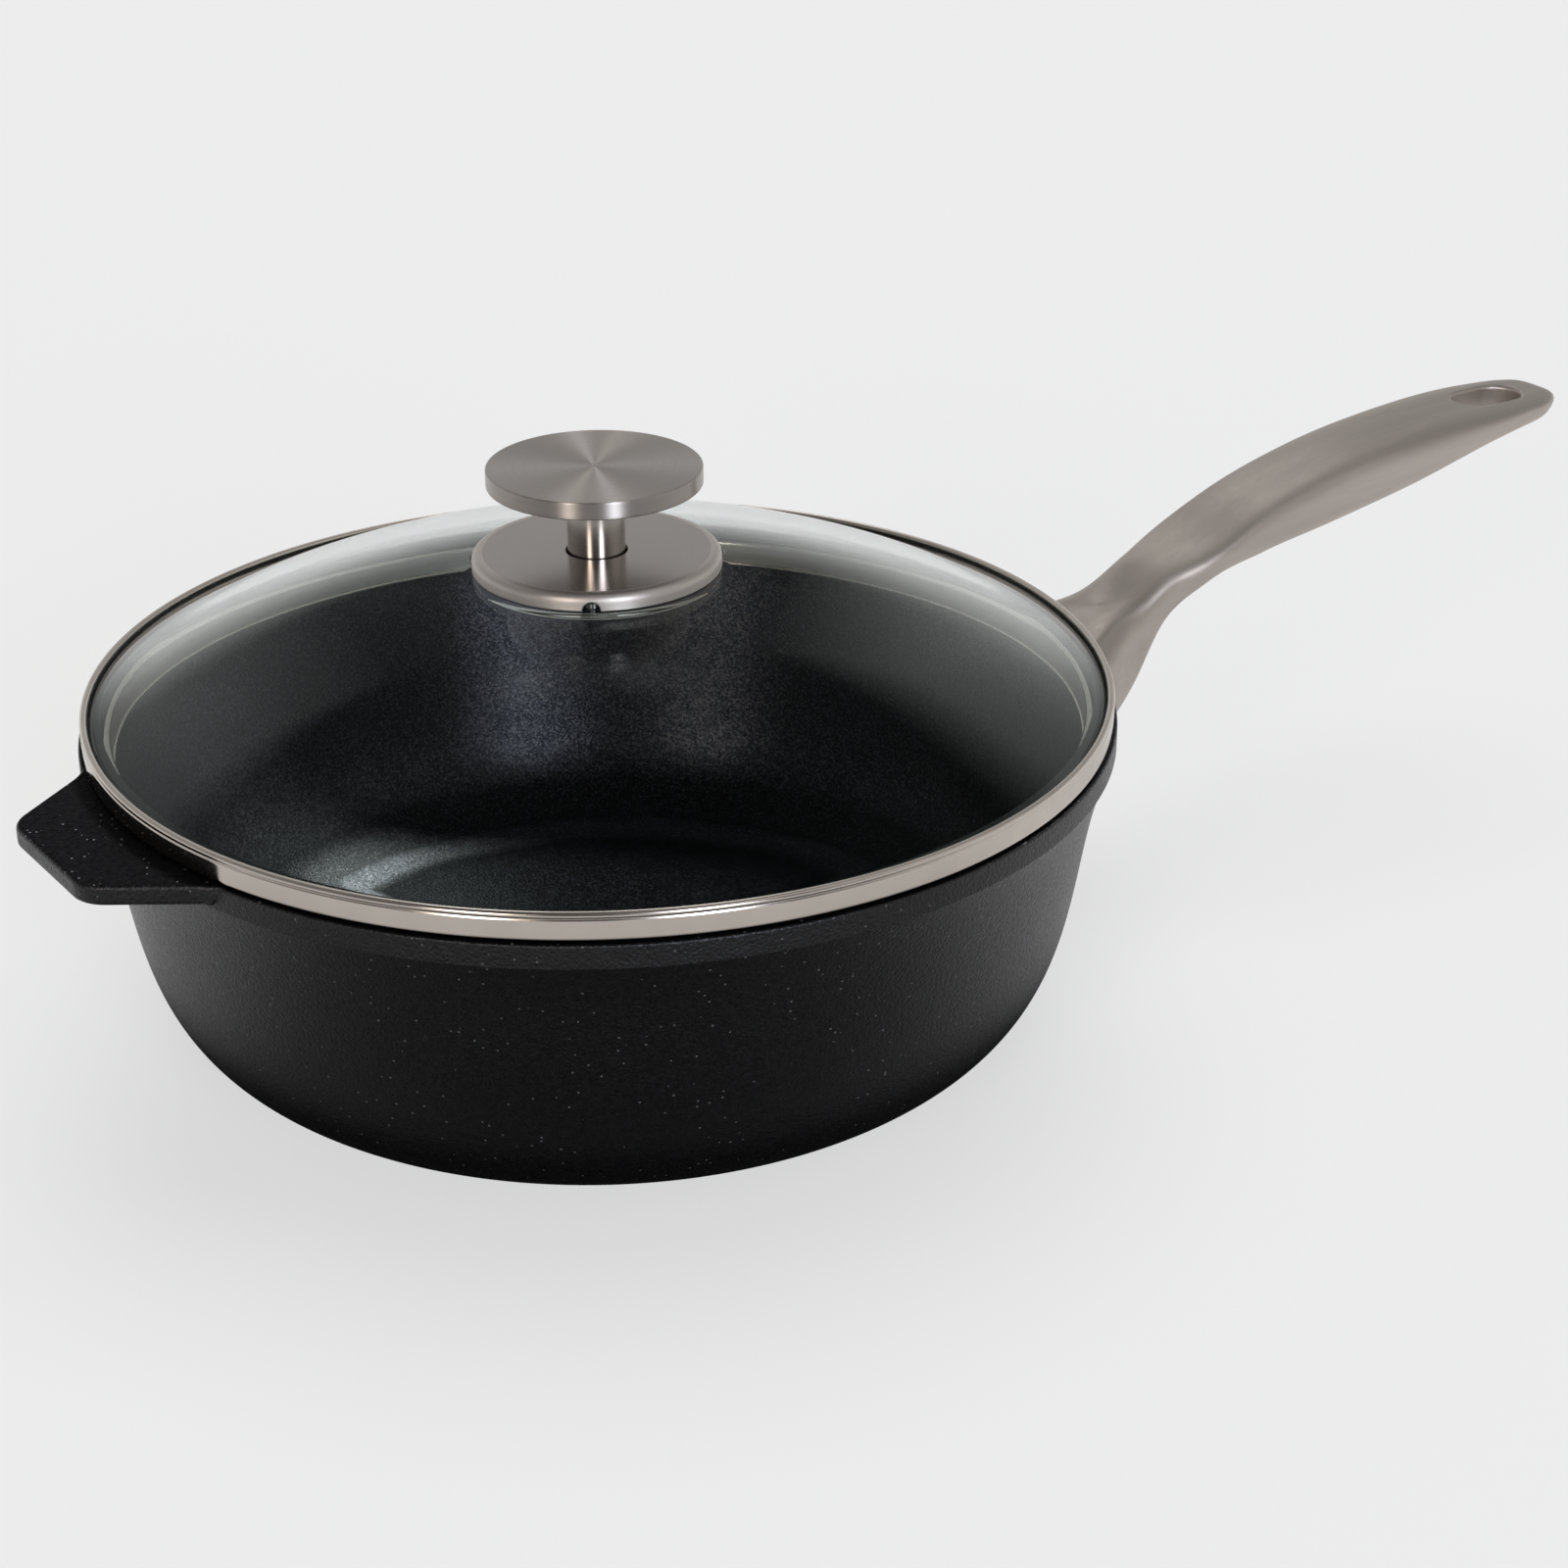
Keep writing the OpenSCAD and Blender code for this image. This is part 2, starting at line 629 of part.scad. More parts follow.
// Slider: a soft disc pressed into the cover, open from the steam hole out to the notch
module vent_slider() {
    slot_w = 2 * notch_r + 0.6;
    color([0.2, 0.2, 0.2]) difference() {
        sleeve(cover_r - cover_t - stack_gap, post_r + post_gap, slider_z, slider_t);
        rotate([0, 0, notch_angle]) translate([steam_reach, 0, slider_z - 1]) {
            cylinder(r = slot_w / 2, h = slider_t + 2);
            translate([0, -slot_w / 2, 0]) cube([cover_r, slot_w, slider_t + 2]);
        }
    }
}

pan_body();
induction_plate();
handle();
handle_screws();
handle_washers();
lid_ring();
bonding_seal();
lid_glass();
knob_bush();
soft_washer();
clamp_washer();
knob_bolt();
knob_post();
knob_disc();
friction_washer();
vent_cover();
vent_slider();
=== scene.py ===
"""Saute pan with a glass lid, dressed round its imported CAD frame.

Origin on the pan's axis at the plane it stands on, +X along the handle, +Z up. The sizes in the
property groups are millimetres, and every mesh is built in metres.
"""

import math

import bmesh
import bpy
from mathutils import Matrix, Vector


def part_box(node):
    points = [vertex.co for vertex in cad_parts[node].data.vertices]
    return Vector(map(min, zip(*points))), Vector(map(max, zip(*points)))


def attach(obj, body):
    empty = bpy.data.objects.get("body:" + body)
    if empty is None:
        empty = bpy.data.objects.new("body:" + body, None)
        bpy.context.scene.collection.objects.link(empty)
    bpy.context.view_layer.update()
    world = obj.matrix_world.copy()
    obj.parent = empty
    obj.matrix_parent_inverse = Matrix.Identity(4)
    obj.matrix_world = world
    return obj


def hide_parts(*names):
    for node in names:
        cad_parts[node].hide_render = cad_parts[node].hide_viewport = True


bl_info = {
    "name": "Saute Pan with Glass Lid",
    "version": (1, 0, 0),
    "blender": (4, 5, 0),
    "location": "View3D > Sidebar > Saute Pan",
    "description": "Builds a coated saute pan with a steel handle and a vented glass lid",
    "category": "Add Mesh",
}

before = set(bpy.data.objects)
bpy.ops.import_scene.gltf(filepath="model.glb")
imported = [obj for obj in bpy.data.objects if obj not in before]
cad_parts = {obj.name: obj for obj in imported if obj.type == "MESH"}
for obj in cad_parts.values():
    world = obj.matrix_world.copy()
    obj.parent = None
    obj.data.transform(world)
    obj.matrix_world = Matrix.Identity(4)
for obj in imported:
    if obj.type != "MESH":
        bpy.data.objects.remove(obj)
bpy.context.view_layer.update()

MM = 0.001
DISC_TOP_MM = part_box("knob_disc")[1].z / MM
# Gap between a piece and what it is set into, in millimetres
CLEARANCE = 0.05
# The collection of what the small light behind the pan shines on
LIT_FROM_BEHIND = "lit_from_behind"


# Property groups: the sizes and colours that a user would change


def size_mm(name, description, default):
    return bpy.props.FloatProperty(
        name=name, description=description + ", in millimetres", default=default, min=0, max=600
    )


def colour(name, description, hex_code):
    return bpy.props.FloatVectorProperty(
        name=name,
        description=description,
        subtype="COLOR",
        size=3,
        min=0.0,
        max=1.0,
        default=linear(hex_code)[:3],
    )


def linear(hex_code):
    """Linear colour with alpha for an sRGB hex code such as '#8A837D'."""
    parts = [int(hex_code[i : i + 2], 16) / 255 for i in (1, 3, 5)]
    return (*(c / 12.92 if c <= 0.04045 else ((c + 0.055) / 1.055) ** 2.4 for c in parts), 1.0)


class PanSizes(bpy.types.PropertyGroup):
    height: size_mm("Height", "Standing plane to the top of the rim", 93.5)
    rim_r: size_mm("Rim radius", "Outside of the collar", 145.0)
    collar_h: size_mm("Collar height", "Height of the raised collar under the rim", 7.0)
    collar_step: size_mm("Collar step", "How far the collar stands out from the wall", 0.8)
    wall_t: size_mm("Wall", "Thickness of the cast wall", 5.0)
    floor_t: size_mm("Floor", "Thickness of the cast floor", 6.0)
    foot_r: size_mm("Foot radius", "Radius of the flat that the pan stands on", 88.0)
    wall_lean: size_mm("Wall lean", "How far the wall's curve leans in", 14.0)
    wall_lean_h: size_mm("Wall lean height", "Height over which the upper wall leans in", 33.7)
    heel_full: size_mm("Heel fullness", "How full the heel between wall and foot is", 55.0)
    tab_reach: size_mm("Tab reach", "How far the helper tab stands out", 22.0)
    tab_w: size_mm("Tab width", "Width of the tab across its outer corners", 54.0)
    tab_root_w: size_mm("Tab root width", "Width of the tab at the collar", 82.0)
    tab_corner_r: size_mm("Tab corner radius", "Radius of the tab's outer corners", 10.0)
    tab_t: size_mm("Tab thickness", "Thickness of the tab", 5.5)
    plate_r: size_mm("Plate radius", "Radius of the steel plate in the base", 80.0)
    plate_t: size_mm("Plate thickness", "Thickness of the plate", 1.0)


class HandleSizes(bpy.types.PropertyGroup):
    reach: size_mm("Reach", "Rim to the tip of the handle", 227.5)
    hole_l: size_mm("Slot length", "Length of the hanging slot", 26.0)
    hole_w: size_mm("Slot width", "Width of the hanging slot", 15.0)
    hole_back: size_mm("Slot place", "Tip to the middle of the slot", 26.5)
    lip_r: size_mm("Slot lip", "Radius of the slot's rounded lip", 1.3)
    screw_pitch: size_mm("Screw pitch", "Distance between the two screws", 12.5)
    screw_head_r: size_mm("Screw head", "Radius of a screw's head", 5.0)


class LidSizes(bpy.types.PropertyGroup):
    seat_z: size_mm("Seat height", "Underside of the ring's seat", 93.7)
    ring_r: size_mm("Ring radius", "Outside of the ring's upright face", 144.0)
    ring_t: size_mm("Ring sheet", "Thickness of the ring's sheet", 0.6)
    face_h: size_mm("Ring face", "Height of the ring's upright face", 5.1)
    corner_r: size_mm("Ring corner", "Radius of the ring's lower corner", 1.0)
    bead_r: size_mm("Bead radius", "Radius of the rolled bead on the ring", 1.05)
    skirt_r: size_mm("Skirt radius", "Outside of the skirt inside the rim", 135.58)
    skirt_h: size_mm("Skirt height", "Depth of the skirt", 8.0)
    glass_t: size_mm("Glass", "Thickness of the glass", 4.0)
    edge_r: size_mm("Glass edge", "Radius at which the ground edge begins", 140.8)
    edge_z: size_mm("Glass edge height", "Height of the glass at its edge", 99.7)
    dome_rise: size_mm("Dome rise", "Rise of the dome above its edge", 38.0)
    shoulder_lift: size_mm("Shoulder lift", "Extra fullness of the dome's shoulder", 0.8)
    shoulder_w: size_mm("Shoulder width", "Width of the dome's shoulder", 15.0)
    land_r: size_mm("Land radius", "Radius of the flat land under the vent cover", 35.5)


class KnobSizes(bpy.types.PropertyGroup):
    disc_r: size_mm("Disc radius", "Radius of the knob's disc", 29.8)
    disc_t: size_mm("Disc thickness", "Thickness of the knob's disc", 5.0)
    disc_z: size_mm("Disc height", "Underside of the knob's disc", DISC_TOP_MM - 5.0)
    post_r: size_mm("Post radius", "Radius of the knob's post", 8.0)
    cover_r: size_mm("Cover radius", "Radius of the vent cover", 34.6)
    cover_h: size_mm("Cover height", "Height of the vent cover", 4.7)
    cover_t: size_mm("Cover sheet", "Thickness of the vent cover's steel", 1.2)
    cover_z: size_mm("Cover place", "Lower edge of the vent cover", 135.5)
    cover_edge_r: size_mm("Cover edge", "Radius of the cover's rolled edge", 3.4)
    post_gap: size_mm("Post gap", "Gap round the post in the vent cover", 0.6)
    notch_r: size_mm("Notch radius", "Radius of the steam notch", 2.4)
    notch_angle: bpy.props.FloatProperty(
        name="Notch direction",
        description="Direction of the steam notch from +X",
        subtype="ANGLE",
        default=math.radians(-124.0),
    )


class Finishes(bpy.types.PropertyGroup):
    coating: colour("Outside coating", "Black non-stick coating on the outside", "#080809")
    coating_inside: colour("Inside coating", "Black non-stick coating on the inside", "#060607")
    handle: colour("Handle steel", "Satin cast stainless steel", "#B4ABA3")
    ring: colour("Ring steel", "Polished stainless steel", "#C4BBB2")
    knob: colour("Knob steel", "Turned stainless steel", "#B2ABA5")
    silicone: colour("Silicone", "Dark silicone of the seals", "#1B1B1B")
    backdrop: colour("Backdrop", "Pale floor and backdrop", "#EFEFEF")


# Small tools for nodes and meshes


def add_node(tree, kind, inputs=(), outputs=None, stops=(), **settings):
    """Add one node with its settings and links, and give its outputs.

    Inputs go by place or by name, and each is set to a value or linked from a socket.
    """
    node = tree.nodes.new(kind)
    for name, value in settings.items():
        setattr(node, name, value)
    for name, value in inputs.items() if isinstance(inputs, dict) else enumerate(inputs):
        if isinstance(value, bpy.types.NodeSocket):
            tree.links.new(value, node.inputs[name])
        else:
            node.inputs[name].default_value = value
    for name, socket in (outputs or {}).items():
        tree.links.new(node.outputs[name], socket)
    for i, (position, shade) in enumerate(stops):
        elements = node.color_ramp.elements
        element = elements[i] if i < len(elements) else elements.new(position)
        element.position, element.color = position, shade
    return node.outputs


def arc(centre, radius, start, stop, steps):
    """Points on an arc in the (r, z) half plane, from start to stop degrees."""
    turn = [math.radians(start + (stop - start) * i / steps) for i in range(steps + 1)]
    return [(centre[0] + radius * math.cos(a), centre[1] + radius * math.sin(a)) for a in turn]


def rounded(corners, steps=5):
    """Points along corners of (r, z, fillet radius).

    A fillet is an arc that takes less than half of each edge, with a point held before and
    after it so that the flats beside it shade flat.
    """
    most, hold = 0.48, 0.35
    points = []
    for i, (r, z, fillet) in enumerate(corners):
        if not fillet or i in (0, len(corners) - 1):
            points.append((r, z))
            continue
        here = Vector((r, z))
        back = Vector(corners[i - 1][:2]) - here
        ahead = Vector(corners[i + 1][:2]) - here
        half = back.angle(ahead) / 2
        reach = min(fillet / math.tan(half), most * back.length, most * ahead.length)
        fillet = reach * math.tan(half)
        back.normalize()
        ahead.normalize()
        centre = here + (back + ahead).normalized() * (fillet / math.sin(half))
        start = here + back * reach - centre
        turn = start.angle_signed(here + ahead * reach - centre)
        x, y = start
        points.append(tuple(here + back * (reach + hold * reach)))
        for k in range(steps + 1):
            c, s = math.cos(-turn * k / steps), math.sin(-turn * k / steps)
            points.append((centre.x + x * c - y * s, centre.y + x * s + y * c))
        points.append(tuple(here + ahead * (reach + hold * reach)))
    return points


def along(points, t):
    """The point at share t of a line of points, counted by point and not by length."""
    spot = t * (len(points) - 1)
    i = min(int(spot), len(points) - 2)
    return tuple(a + (b - a) * (spot - i) for a, b in zip(points[i], points[i + 1]))


def circle(around):
    """Cosine and sine at even steps once round."""
    turns = [2 * math.pi * j / around for j in range(around)]
    return [(math.cos(a), math.sin(a)) for a in turns]


def new_tree(name, inputs, output):
    """A Geometry Nodes tree with named inputs and one output, and the sockets of its inputs."""
    tree = bpy.data.node_groups.new(name, "GeometryNodeTree")
    for label, kind in inputs.items():
        tree.interface.new_socket(label, in_out="INPUT", socket_type="NodeSocket" + kind)
    tree.interface.new_socket(output, in_out="OUTPUT", socket_type="NodeSocketGeometry")
    return tree, add_node(tree, "NodeGroupInput")


def end_tree(tree, piece, material):
    """Make the piece real, give it its finish and send it to the tree's output."""
    piece = add_node(tree, "GeometryNodeRealizeInstances", {"Geometry": piece})[0]
    coat = {"Geometry": piece, "Material": material}
    add_node(tree, "NodeGroupOutput", (add_node(tree, "GeometryNodeSetMaterial", coat)[0],))
    return tree


def turning_tree():
    """Geometry Nodes that turn a profile in the XZ plane once about Z, with named inputs."""
    name = "Turned Piece"
    if name in bpy.data.node_groups:
        return bpy.data.node_groups[name]
    kinds = {"Profile": "Geometry", "Steps Around": "Int", "Finish": "Material"}
    tree, source = new_tree(name, kinds, "Piece")
    profile, steps = source["Profile"], source["Steps Around"]
    count = add_node(tree, "GeometryNodeAttributeDomainSize", {"Geometry": profile})["Point Count"]
    columns = add_node(tree, "ShaderNodeMath", (steps, 1.0), operation="ADD")[0]
    size = {"Vertices X": columns, "Vertices Y": count}
    grid = add_node(tree, "GeometryNodeMeshGrid", size)["Mesh"]
    index = add_node(tree, "GeometryNodeInputIndex")[0]
    row = add_node(tree, "ShaderNodeMath", (index, count), operation="MODULO")[0]
    share = add_node(tree, "ShaderNodeMath", (index, count), operation="DIVIDE")[0]
    column = add_node(tree, "ShaderNodeMath", (share,), operation="FLOOR")[0]
    part = add_node(tree, "ShaderNodeMath", (column, steps), operation="DIVIDE")[0]
    angle = add_node(tree, "ShaderNodeMath", (part, 2 * math.pi), operation="MULTIPLY")[0]
    place = add_node(tree, "GeometryNodeInputPosition")[0]
    sample = {"Geometry": profile, "Value": place, "Index": row}
    kind = {"data_type": "FLOAT_VECTOR", "domain": "POINT"}
    point = add_node(tree, "GeometryNodeSampleIndex", sample, **kind)[0]
    spin = {"Vector": point, "Angle": angle}
    place = add_node(tree, "ShaderNodeVectorRotate", spin, rotation_type="Z_AXIS")[0]
    piece = add_node(tree, "GeometryNodeSetPosition", {"Geometry": grid, "Position": place})[0]
    merge = {"Geometry": piece, "Distance": 1e-6}
    piece = add_node(tree, "GeometryNodeMergeByDistance", merge)[0]
    return end_tree(tree, piece, source["Finish"])


def row_tree():
    """Geometry Nodes that repeat a piece along X at even steps, with named inputs."""
    name = "Row of Pieces"
    if name in bpy.data.node_groups:
        return bpy.data.node_groups[name]
    kinds = {"Piece": "Geometry", "Count": "Int", "Pitch": "Float", "Finish": "Material"}
    tree, source = new_tree(name, kinds, "Row")
    step = add_node(tree, "ShaderNodeCombineXYZ", {"X": source["Pitch"]})[0]
    line = {"Count": source["Count"], "Offset": step}
    places = add_node(tree, "GeometryNodeMeshLine", line)[0]
    put = {"Points": places, "Instance": source["Piece"]}
    row = add_node(tree, "GeometryNodeInstanceOnPoints", put)[0]
    return end_tree(tree, row, source["Finish"])


def with_modifiers(obj):
    """Turn what the object's modifiers make into its own plain mesh."""
    bpy.context.view_layer.update()
    seen = obj.evaluated_get(bpy.context.evaluated_depsgraph_get())
    mesh = bpy.data.meshes.new_from_object(seen)
    obj.modifiers.clear()
    obj.data = mesh
    mesh.name = obj.name
    return obj


def through_tree(obj, tree, values):
    """Run a Geometry Nodes tree on an object, with its inputs given by name."""
    modifier = obj.modifiers.new(tree.name, "NODES")
    modifier.node_group = tree
    for item in tree.interface.items_tree:
        if item.item_type == "SOCKET" and item.in_out == "INPUT" and item.name in values:
            modifier[item.identifier] = values[item.name]
    return with_modifiers(obj)


def tidy_mesh(obj, sharp_degrees=38.0):
    """Merge doubles, point the faces outwards, and shade smooth except across sharp edges."""
    work = bmesh.new()
    work.from_mesh(obj.data)
    bmesh.ops.remove_doubles(work, verts=work.verts, dist=2e-6)
    bmesh.ops.dissolve_degenerate(work, edges=work.edges, dist=1e-7)
    bmesh.ops.recalc_face_normals(work, faces=work.faces)
    limit = math.radians(sharp_degrees)
    for edge in work.edges:
        edge.smooth = len(edge.link_faces) != 2 or edge.calc_face_angle() < limit
    for face in work.faces:
        face.smooth = True
    work.to_mesh(obj.data)
    work.free()
    return obj


def new_piece(name, verts, edges=(), faces=()):
    """An object from points in millimetres."""
    mesh = bpy.data.meshes.new(name)
    mesh.from_pydata([tuple(c * MM for c in v) for v in verts], edges, faces)
    obj = bpy.data.objects.new(name, mesh)
    bpy.context.scene.collection.objects.link(obj)
    return obj


def stacked(name, rings):
    """A closed piece through rings of as many points each, capped at both ends."""
    around = len(rings[0])
    verts = [point for ring in rings for point in ring]
    faces = [list(range(around))]
    for a in range(0, len(verts) - around, around):
        for j in range(around):
            k = (j + 1) % around
            faces.append((a + j, a + k, a + around + k, a + around + j))
    faces.append(list(range(len(verts) - around, len(verts)))[::-1])
    return tidy_mesh(new_piece(name, verts, faces=faces))


def turned(name, profile, finish, steps=256, closed=True):
    """A piece turned from a profile of (r, z) millimetres; a closed one ends where it starts."""
    points = list(profile) + ([profile[0]] if closed else [])
    edges = [(i, i + 1) for i in range(len(points) - 1)]
    obj = new_piece(name, [(r, 0.0, z) for r, z in points], edges)
    through_tree(obj, turning_tree(), {"Steps Around": steps, "Finish": finish})
    return dress(tidy_mesh(obj), finish)


def dress(obj, *finishes):
    """Give a piece its finishes as its only material slots."""
    obj.data.materials.clear()
    for material in finishes:
        obj.data.materials.append(material)
    return obj


def cut(obj, cutter):
    """Take one closed mesh out of another, and drop the cutter."""
    modifier = obj.modifiers.new("Cut", "BOOLEAN")
    modifier.operation = "DIFFERENCE"
    modifier.solver = "EXACT"
    modifier.object = cutter
    with_modifiers(obj)
    bpy.data.objects.remove(cutter)
    return obj


def place(obj, body, nodes, slot):
    """Let a piece ride on its body and stand for its CAD nodes; the slot is not used."""
    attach(obj, body)
    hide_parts(*nodes)


# Materials


def new_material(name, values, around=None):
    """A material, its tree and its principled shader, with the shader's inputs set by name.

    Turned or brushed metal names the axis that its marks run round.
    """
    material = bpy.data.materials.new(name)
    material.use_nodes = True
    tree = material.node_tree
    tree.nodes.clear()
    shader = add_node(tree, "ShaderNodeBsdfPrincipled", values)[0].node
    add_node(tree, "ShaderNodeOutputMaterial", {"Surface": shader.outputs[0]})
    if around:
        tangent = {0: shader.inputs["Tangent"]}
        add_node(
            tree, "ShaderNodeTangent", outputs=tangent, direction_type="RADIAL", axis=around
        )
    return material, tree, shader


def grain(tree, shader, where, size, shades=(), rough=(), bump=(), span=(0.3, 0.7), **settings):
    """Noise that drives the shader's colour, roughness and bump, those that are given.

    Its size is (millimetres, detail), a bump is (millimetres, strength), and the noise's span
    spreads over the two shades and the two roughnesses.
    """
    inputs = {**where, "Scale": 1 / (size[0] * MM), "Detail": size[1]}
    value = add_node(tree, "ShaderNodeTexNoise", inputs, **settings)["Fac"]
    if shades:
        colour_in = {"Color": shader.inputs["Base Color"]}
        add_node(tree, "ShaderNodeValToRGB", (value,), colour_in, zip(span, shades))
    if rough:
        rough_in = {0: shader.inputs["Roughness"]}
        add_node(tree, "ShaderNodeMapRange", (value, *span, *rough), rough_in)
    if bump:
        height = {"Height": value, "Distance": bump[0] * MM, "Strength": bump[1]}
        add_node(tree, "ShaderNodeBump", height, {0: shader.inputs["Normal"]})
    return value


def upward(tree):
    """How far the surface's normal points up, from -1 to 1."""
    normal = add_node(tree, "ShaderNodeNewGeometry")["Normal"]
    return add_node(tree, "ShaderNodeSeparateXYZ", (normal,))["Z"]


def dimmed(shade, share):
    return (*(c * share for c in shade[:3]), 1.0)


def finish_colour(name):
    return (*getattr(bpy.context.scene.pan_finishes, name), 1.0)


def coating_outside():
    """Sprayed non-stick coating over cast aluminium: matte black, pebbled, a few pale flecks."""
    material, tree, shader = new_material("sprayed_nonstick_outside", {"Specular IOR Level": 0.33})
    base = finish_colour("coating")
    where = {"Vector": add_node(tree, "ShaderNodeTexCoord")["Object"]}
    # The real grain is about 0.2 mm; it is drawn at 0.9 mm so that it shows in the render.
    grain(tree, shader, where, (0.9, 3.0), rough=(0.22, 0.4), bump=(0.36, 0.8))
    mottle = grain(tree, shader, where, (1.8, 2.0))
    cells = add_node(tree, "ShaderNodeTexVoronoi", {**where, "Scale": 1 / (1.5 * MM)})
    near = add_node(tree, "ShaderNodeMath", (cells["Distance"], 0.2), operation="LESS_THAN")[0]
    lot = add_node(tree, "ShaderNodeSeparateColor", (cells["Color"],))[0]
    rare = add_node(tree, "ShaderNodeMath", (lot, 0.9), operation="GREATER_THAN")[0]
    fleck = add_node(tree, "ShaderNodeMath", (near, rare), operation="MULTIPLY")[0]
    ground = add_node(tree, "ShaderNodeMapRange", (mottle, 0.3, 0.7, 0.0, 0.8))[0]
    shade = add_node(tree, "ShaderNodeMath", (ground, fleck), operation="MAXIMUM")[0]
    stops = [(0.0, dimmed(base, 0.55)), (0.8, dimmed(base, 1.5)), (1.0, linear("#4A4A4C"))]
    colour_in = {"Color": shader.inputs["Base Color"]}
    add_node(tree, "ShaderNodeValToRGB", (shade,), colour_in, stops)
    # Painted shade: level tops are made to mirror less than the upright wall does.
    painted_shade_on_tops = {0: shader.inputs["Specular IOR Level"]}
    add_node(tree, "ShaderNodeMapRange", (upward(tree), 0.5, 0.95, 0.33, 0.004), painted_shade_on_tops)
    return material


# How much the inside coating mirrors, as a sum of ramps over the upward part of its normal, with
# painted shade where the heel and the level floor mirror less than the wall:
# from, to, share before, share after
INSIDE_SHINE_AND_PAINTED_SHADE = [
    (0.4, 0.72, 1.0, 0.12),
    (0.96, 0.987, 0.0, 0.45),
    (0.9965, 0.99998, 0.0, -0.51),
]


def coating_inside():
    """Non-stick coating on the cooking surface: darker, smoother, mineral specks glint in it."""
    # The casting is turned inside before it is coated, which draws each light out up the wall.
    material, tree, shader = new_material(
        "mineral_nonstick_inside", {"Anisotropic": 0.87, "Anisotropic Rotation": 0.25}, "Z"
    )
    base = finish_colour("coating_inside")
    where = {"Vector": add_node(tree, "ShaderNodeTexCoord")["Object"]}
    # The specks are about 0.1 mm; they are drawn at 0.55 mm so that they show in the render.
    cells = add_node(tree, "ShaderNodeTexVoronoi", {**where, "Scale": 1 / (0.55 * MM)})
    lot = add_node(tree, "ShaderNodeSeparateColor", (cells["Color"],))[1]
    # Each speck has its own colour and mirrors by its own amount.
    shades = [(0.0, dimmed(base, 0.6)), (0.7, dimmed(base, 0.9)), (1.0, linear("#18191E"))]
    tints = [(0.1, linear("#75727E")), (0.6, linear("#B9B6C8")), (1.0, linear("#FFF8FF"))]
    for name, stops in (("Base Color", shades), ("Specular Tint", tints)):
        add_node(tree, "ShaderNodeValToRGB", (lot,), {"Color": shader.inputs[name]}, stops)
    grain(tree, shader, where, (0.65, 2.0), rough=(0.28, 0.42), bump=(0.14, 0.8))
    # Painted shade: the wall and the rise at the floor's edge mirror fully, while the heel between
    # them and the level floor are made to mirror less.
    up = upward(tree)
    share = 0.0
    for ramp in INSIDE_SHINE_AND_PAINTED_SHADE:
        part = add_node(tree, "ShaderNodeMapRange", (up, *ramp))[0]
        share = add_node(tree, "ShaderNodeMath", (share, part), operation="ADD")[0]
    tree.links.new(share, shader.inputs["Specular IOR Level"])
    return material


def satin_cast_steel():
    """Cast stainless steel, blasted and lightly brushed along the handle: warm, faint streaks."""
    material, tree, shader = new_material(
        "satin_cast_stainless", {"Metallic": 1.0, "Anisotropic": 0.6}, "X"
    )
    base = finish_colour("handle")
    where = add_node(tree, "ShaderNodeTexCoord")["Object"]
    drawn_out = {"Vector": where, "Scale": (0.08, 1.0, 1.0)}
    where = {"Vector": add_node(tree, "ShaderNodeMapping", drawn_out)[0]}
    grain(tree, shader, where, (9.0, 2.0), (dimmed(base, 0.93), dimmed(base, 1.06)))
    grain(tree, shader, where, (1.0, 3.0), rough=(0.40, 0.50), bump=(0.012, 0.4))
    return material


def turned_steel(name, roughness, anisotropy, share=1.0, ring_mm=0.8, contrast=0.05):
    """Turned stainless steel: fine rings about the axis draw each light out across them."""
    material, tree, shader = new_material(
        name,
        {"Metallic": 1.0, "Anisotropic": anisotropy, "Anisotropic Rotation": 0.25},
        "Z",
    )
    base = dimmed(finish_colour("knob"), share)
    where = add_node(tree, "ShaderNodeTexCoord")["Object"]
    level = (1.0, 1.0, 0.0)
    flat = add_node(tree, "ShaderNodeVectorMath", (where, level), operation="MULTIPLY")[0]
    reach = add_node(tree, "ShaderNodeVectorMath", (flat,), operation="LENGTH")["Value"]
    height = add_node(tree, "ShaderNodeSeparateXYZ", (where,))["Z"]
    across = add_node(tree, "ShaderNodeMath", (reach, height), operation="ADD")[0]
    low, high = 1 - contrast, 1 + contrast
    shades, rough = (dimmed(base, low), dimmed(base, high)), (roughness * low, roughness * high)
    rings = {"span": (0.25, 0.75), "noise_dimensions": "1D"}
    grain(tree, shader, {"W": across}, (ring_mm, 3.0), shades, rough, **rings)
    return material


def toughened_glass():
    """Clear toughened soda-lime glass: faintly green, sharp reflections, lamps shine through."""
    material, tree, shader = new_material(
        "clear_toughened_glass",
        {
            "Base Color": linear("#F4FAF7"),
            "Roughness": 0.0,
            "IOR": 1.5,
            "Transmission Weight": 1.0,
        },
    )
    # Painted shade: near the top of the dome the glass's reflections are tinted dark, so that it
    # mirrors next to nothing of the vent cover.
    up = add_node(tree, "ShaderNodeMath", (upward(tree),), operation="ABSOLUTE")[0]
    tint = {"Color": shader.inputs["Specular Tint"]}
    stops = [(0.95, linear("#BCBCBC")), (0.985, linear("#303030"))]
    add_node(tree, "ShaderNodeValToRGB", (up,), tint, stops)
    clear = add_node(tree, "ShaderNodeBsdfTransparent", {"Color": linear("#F2F7F5")})[0]
    rays = add_node(tree, "ShaderNodeLightPath")
    either = (rays["Is Shadow Ray"], rays["Is Diffuse Ray"])
    soft = add_node(tree, "ShaderNodeMath", either, operation="MAXIMUM")[0]
    surface = shader.outputs[0].links[0].to_socket
    add_node(tree, "ShaderNodeMixShader", (soft, shader.outputs[0], clear), {0: surface})
    return material


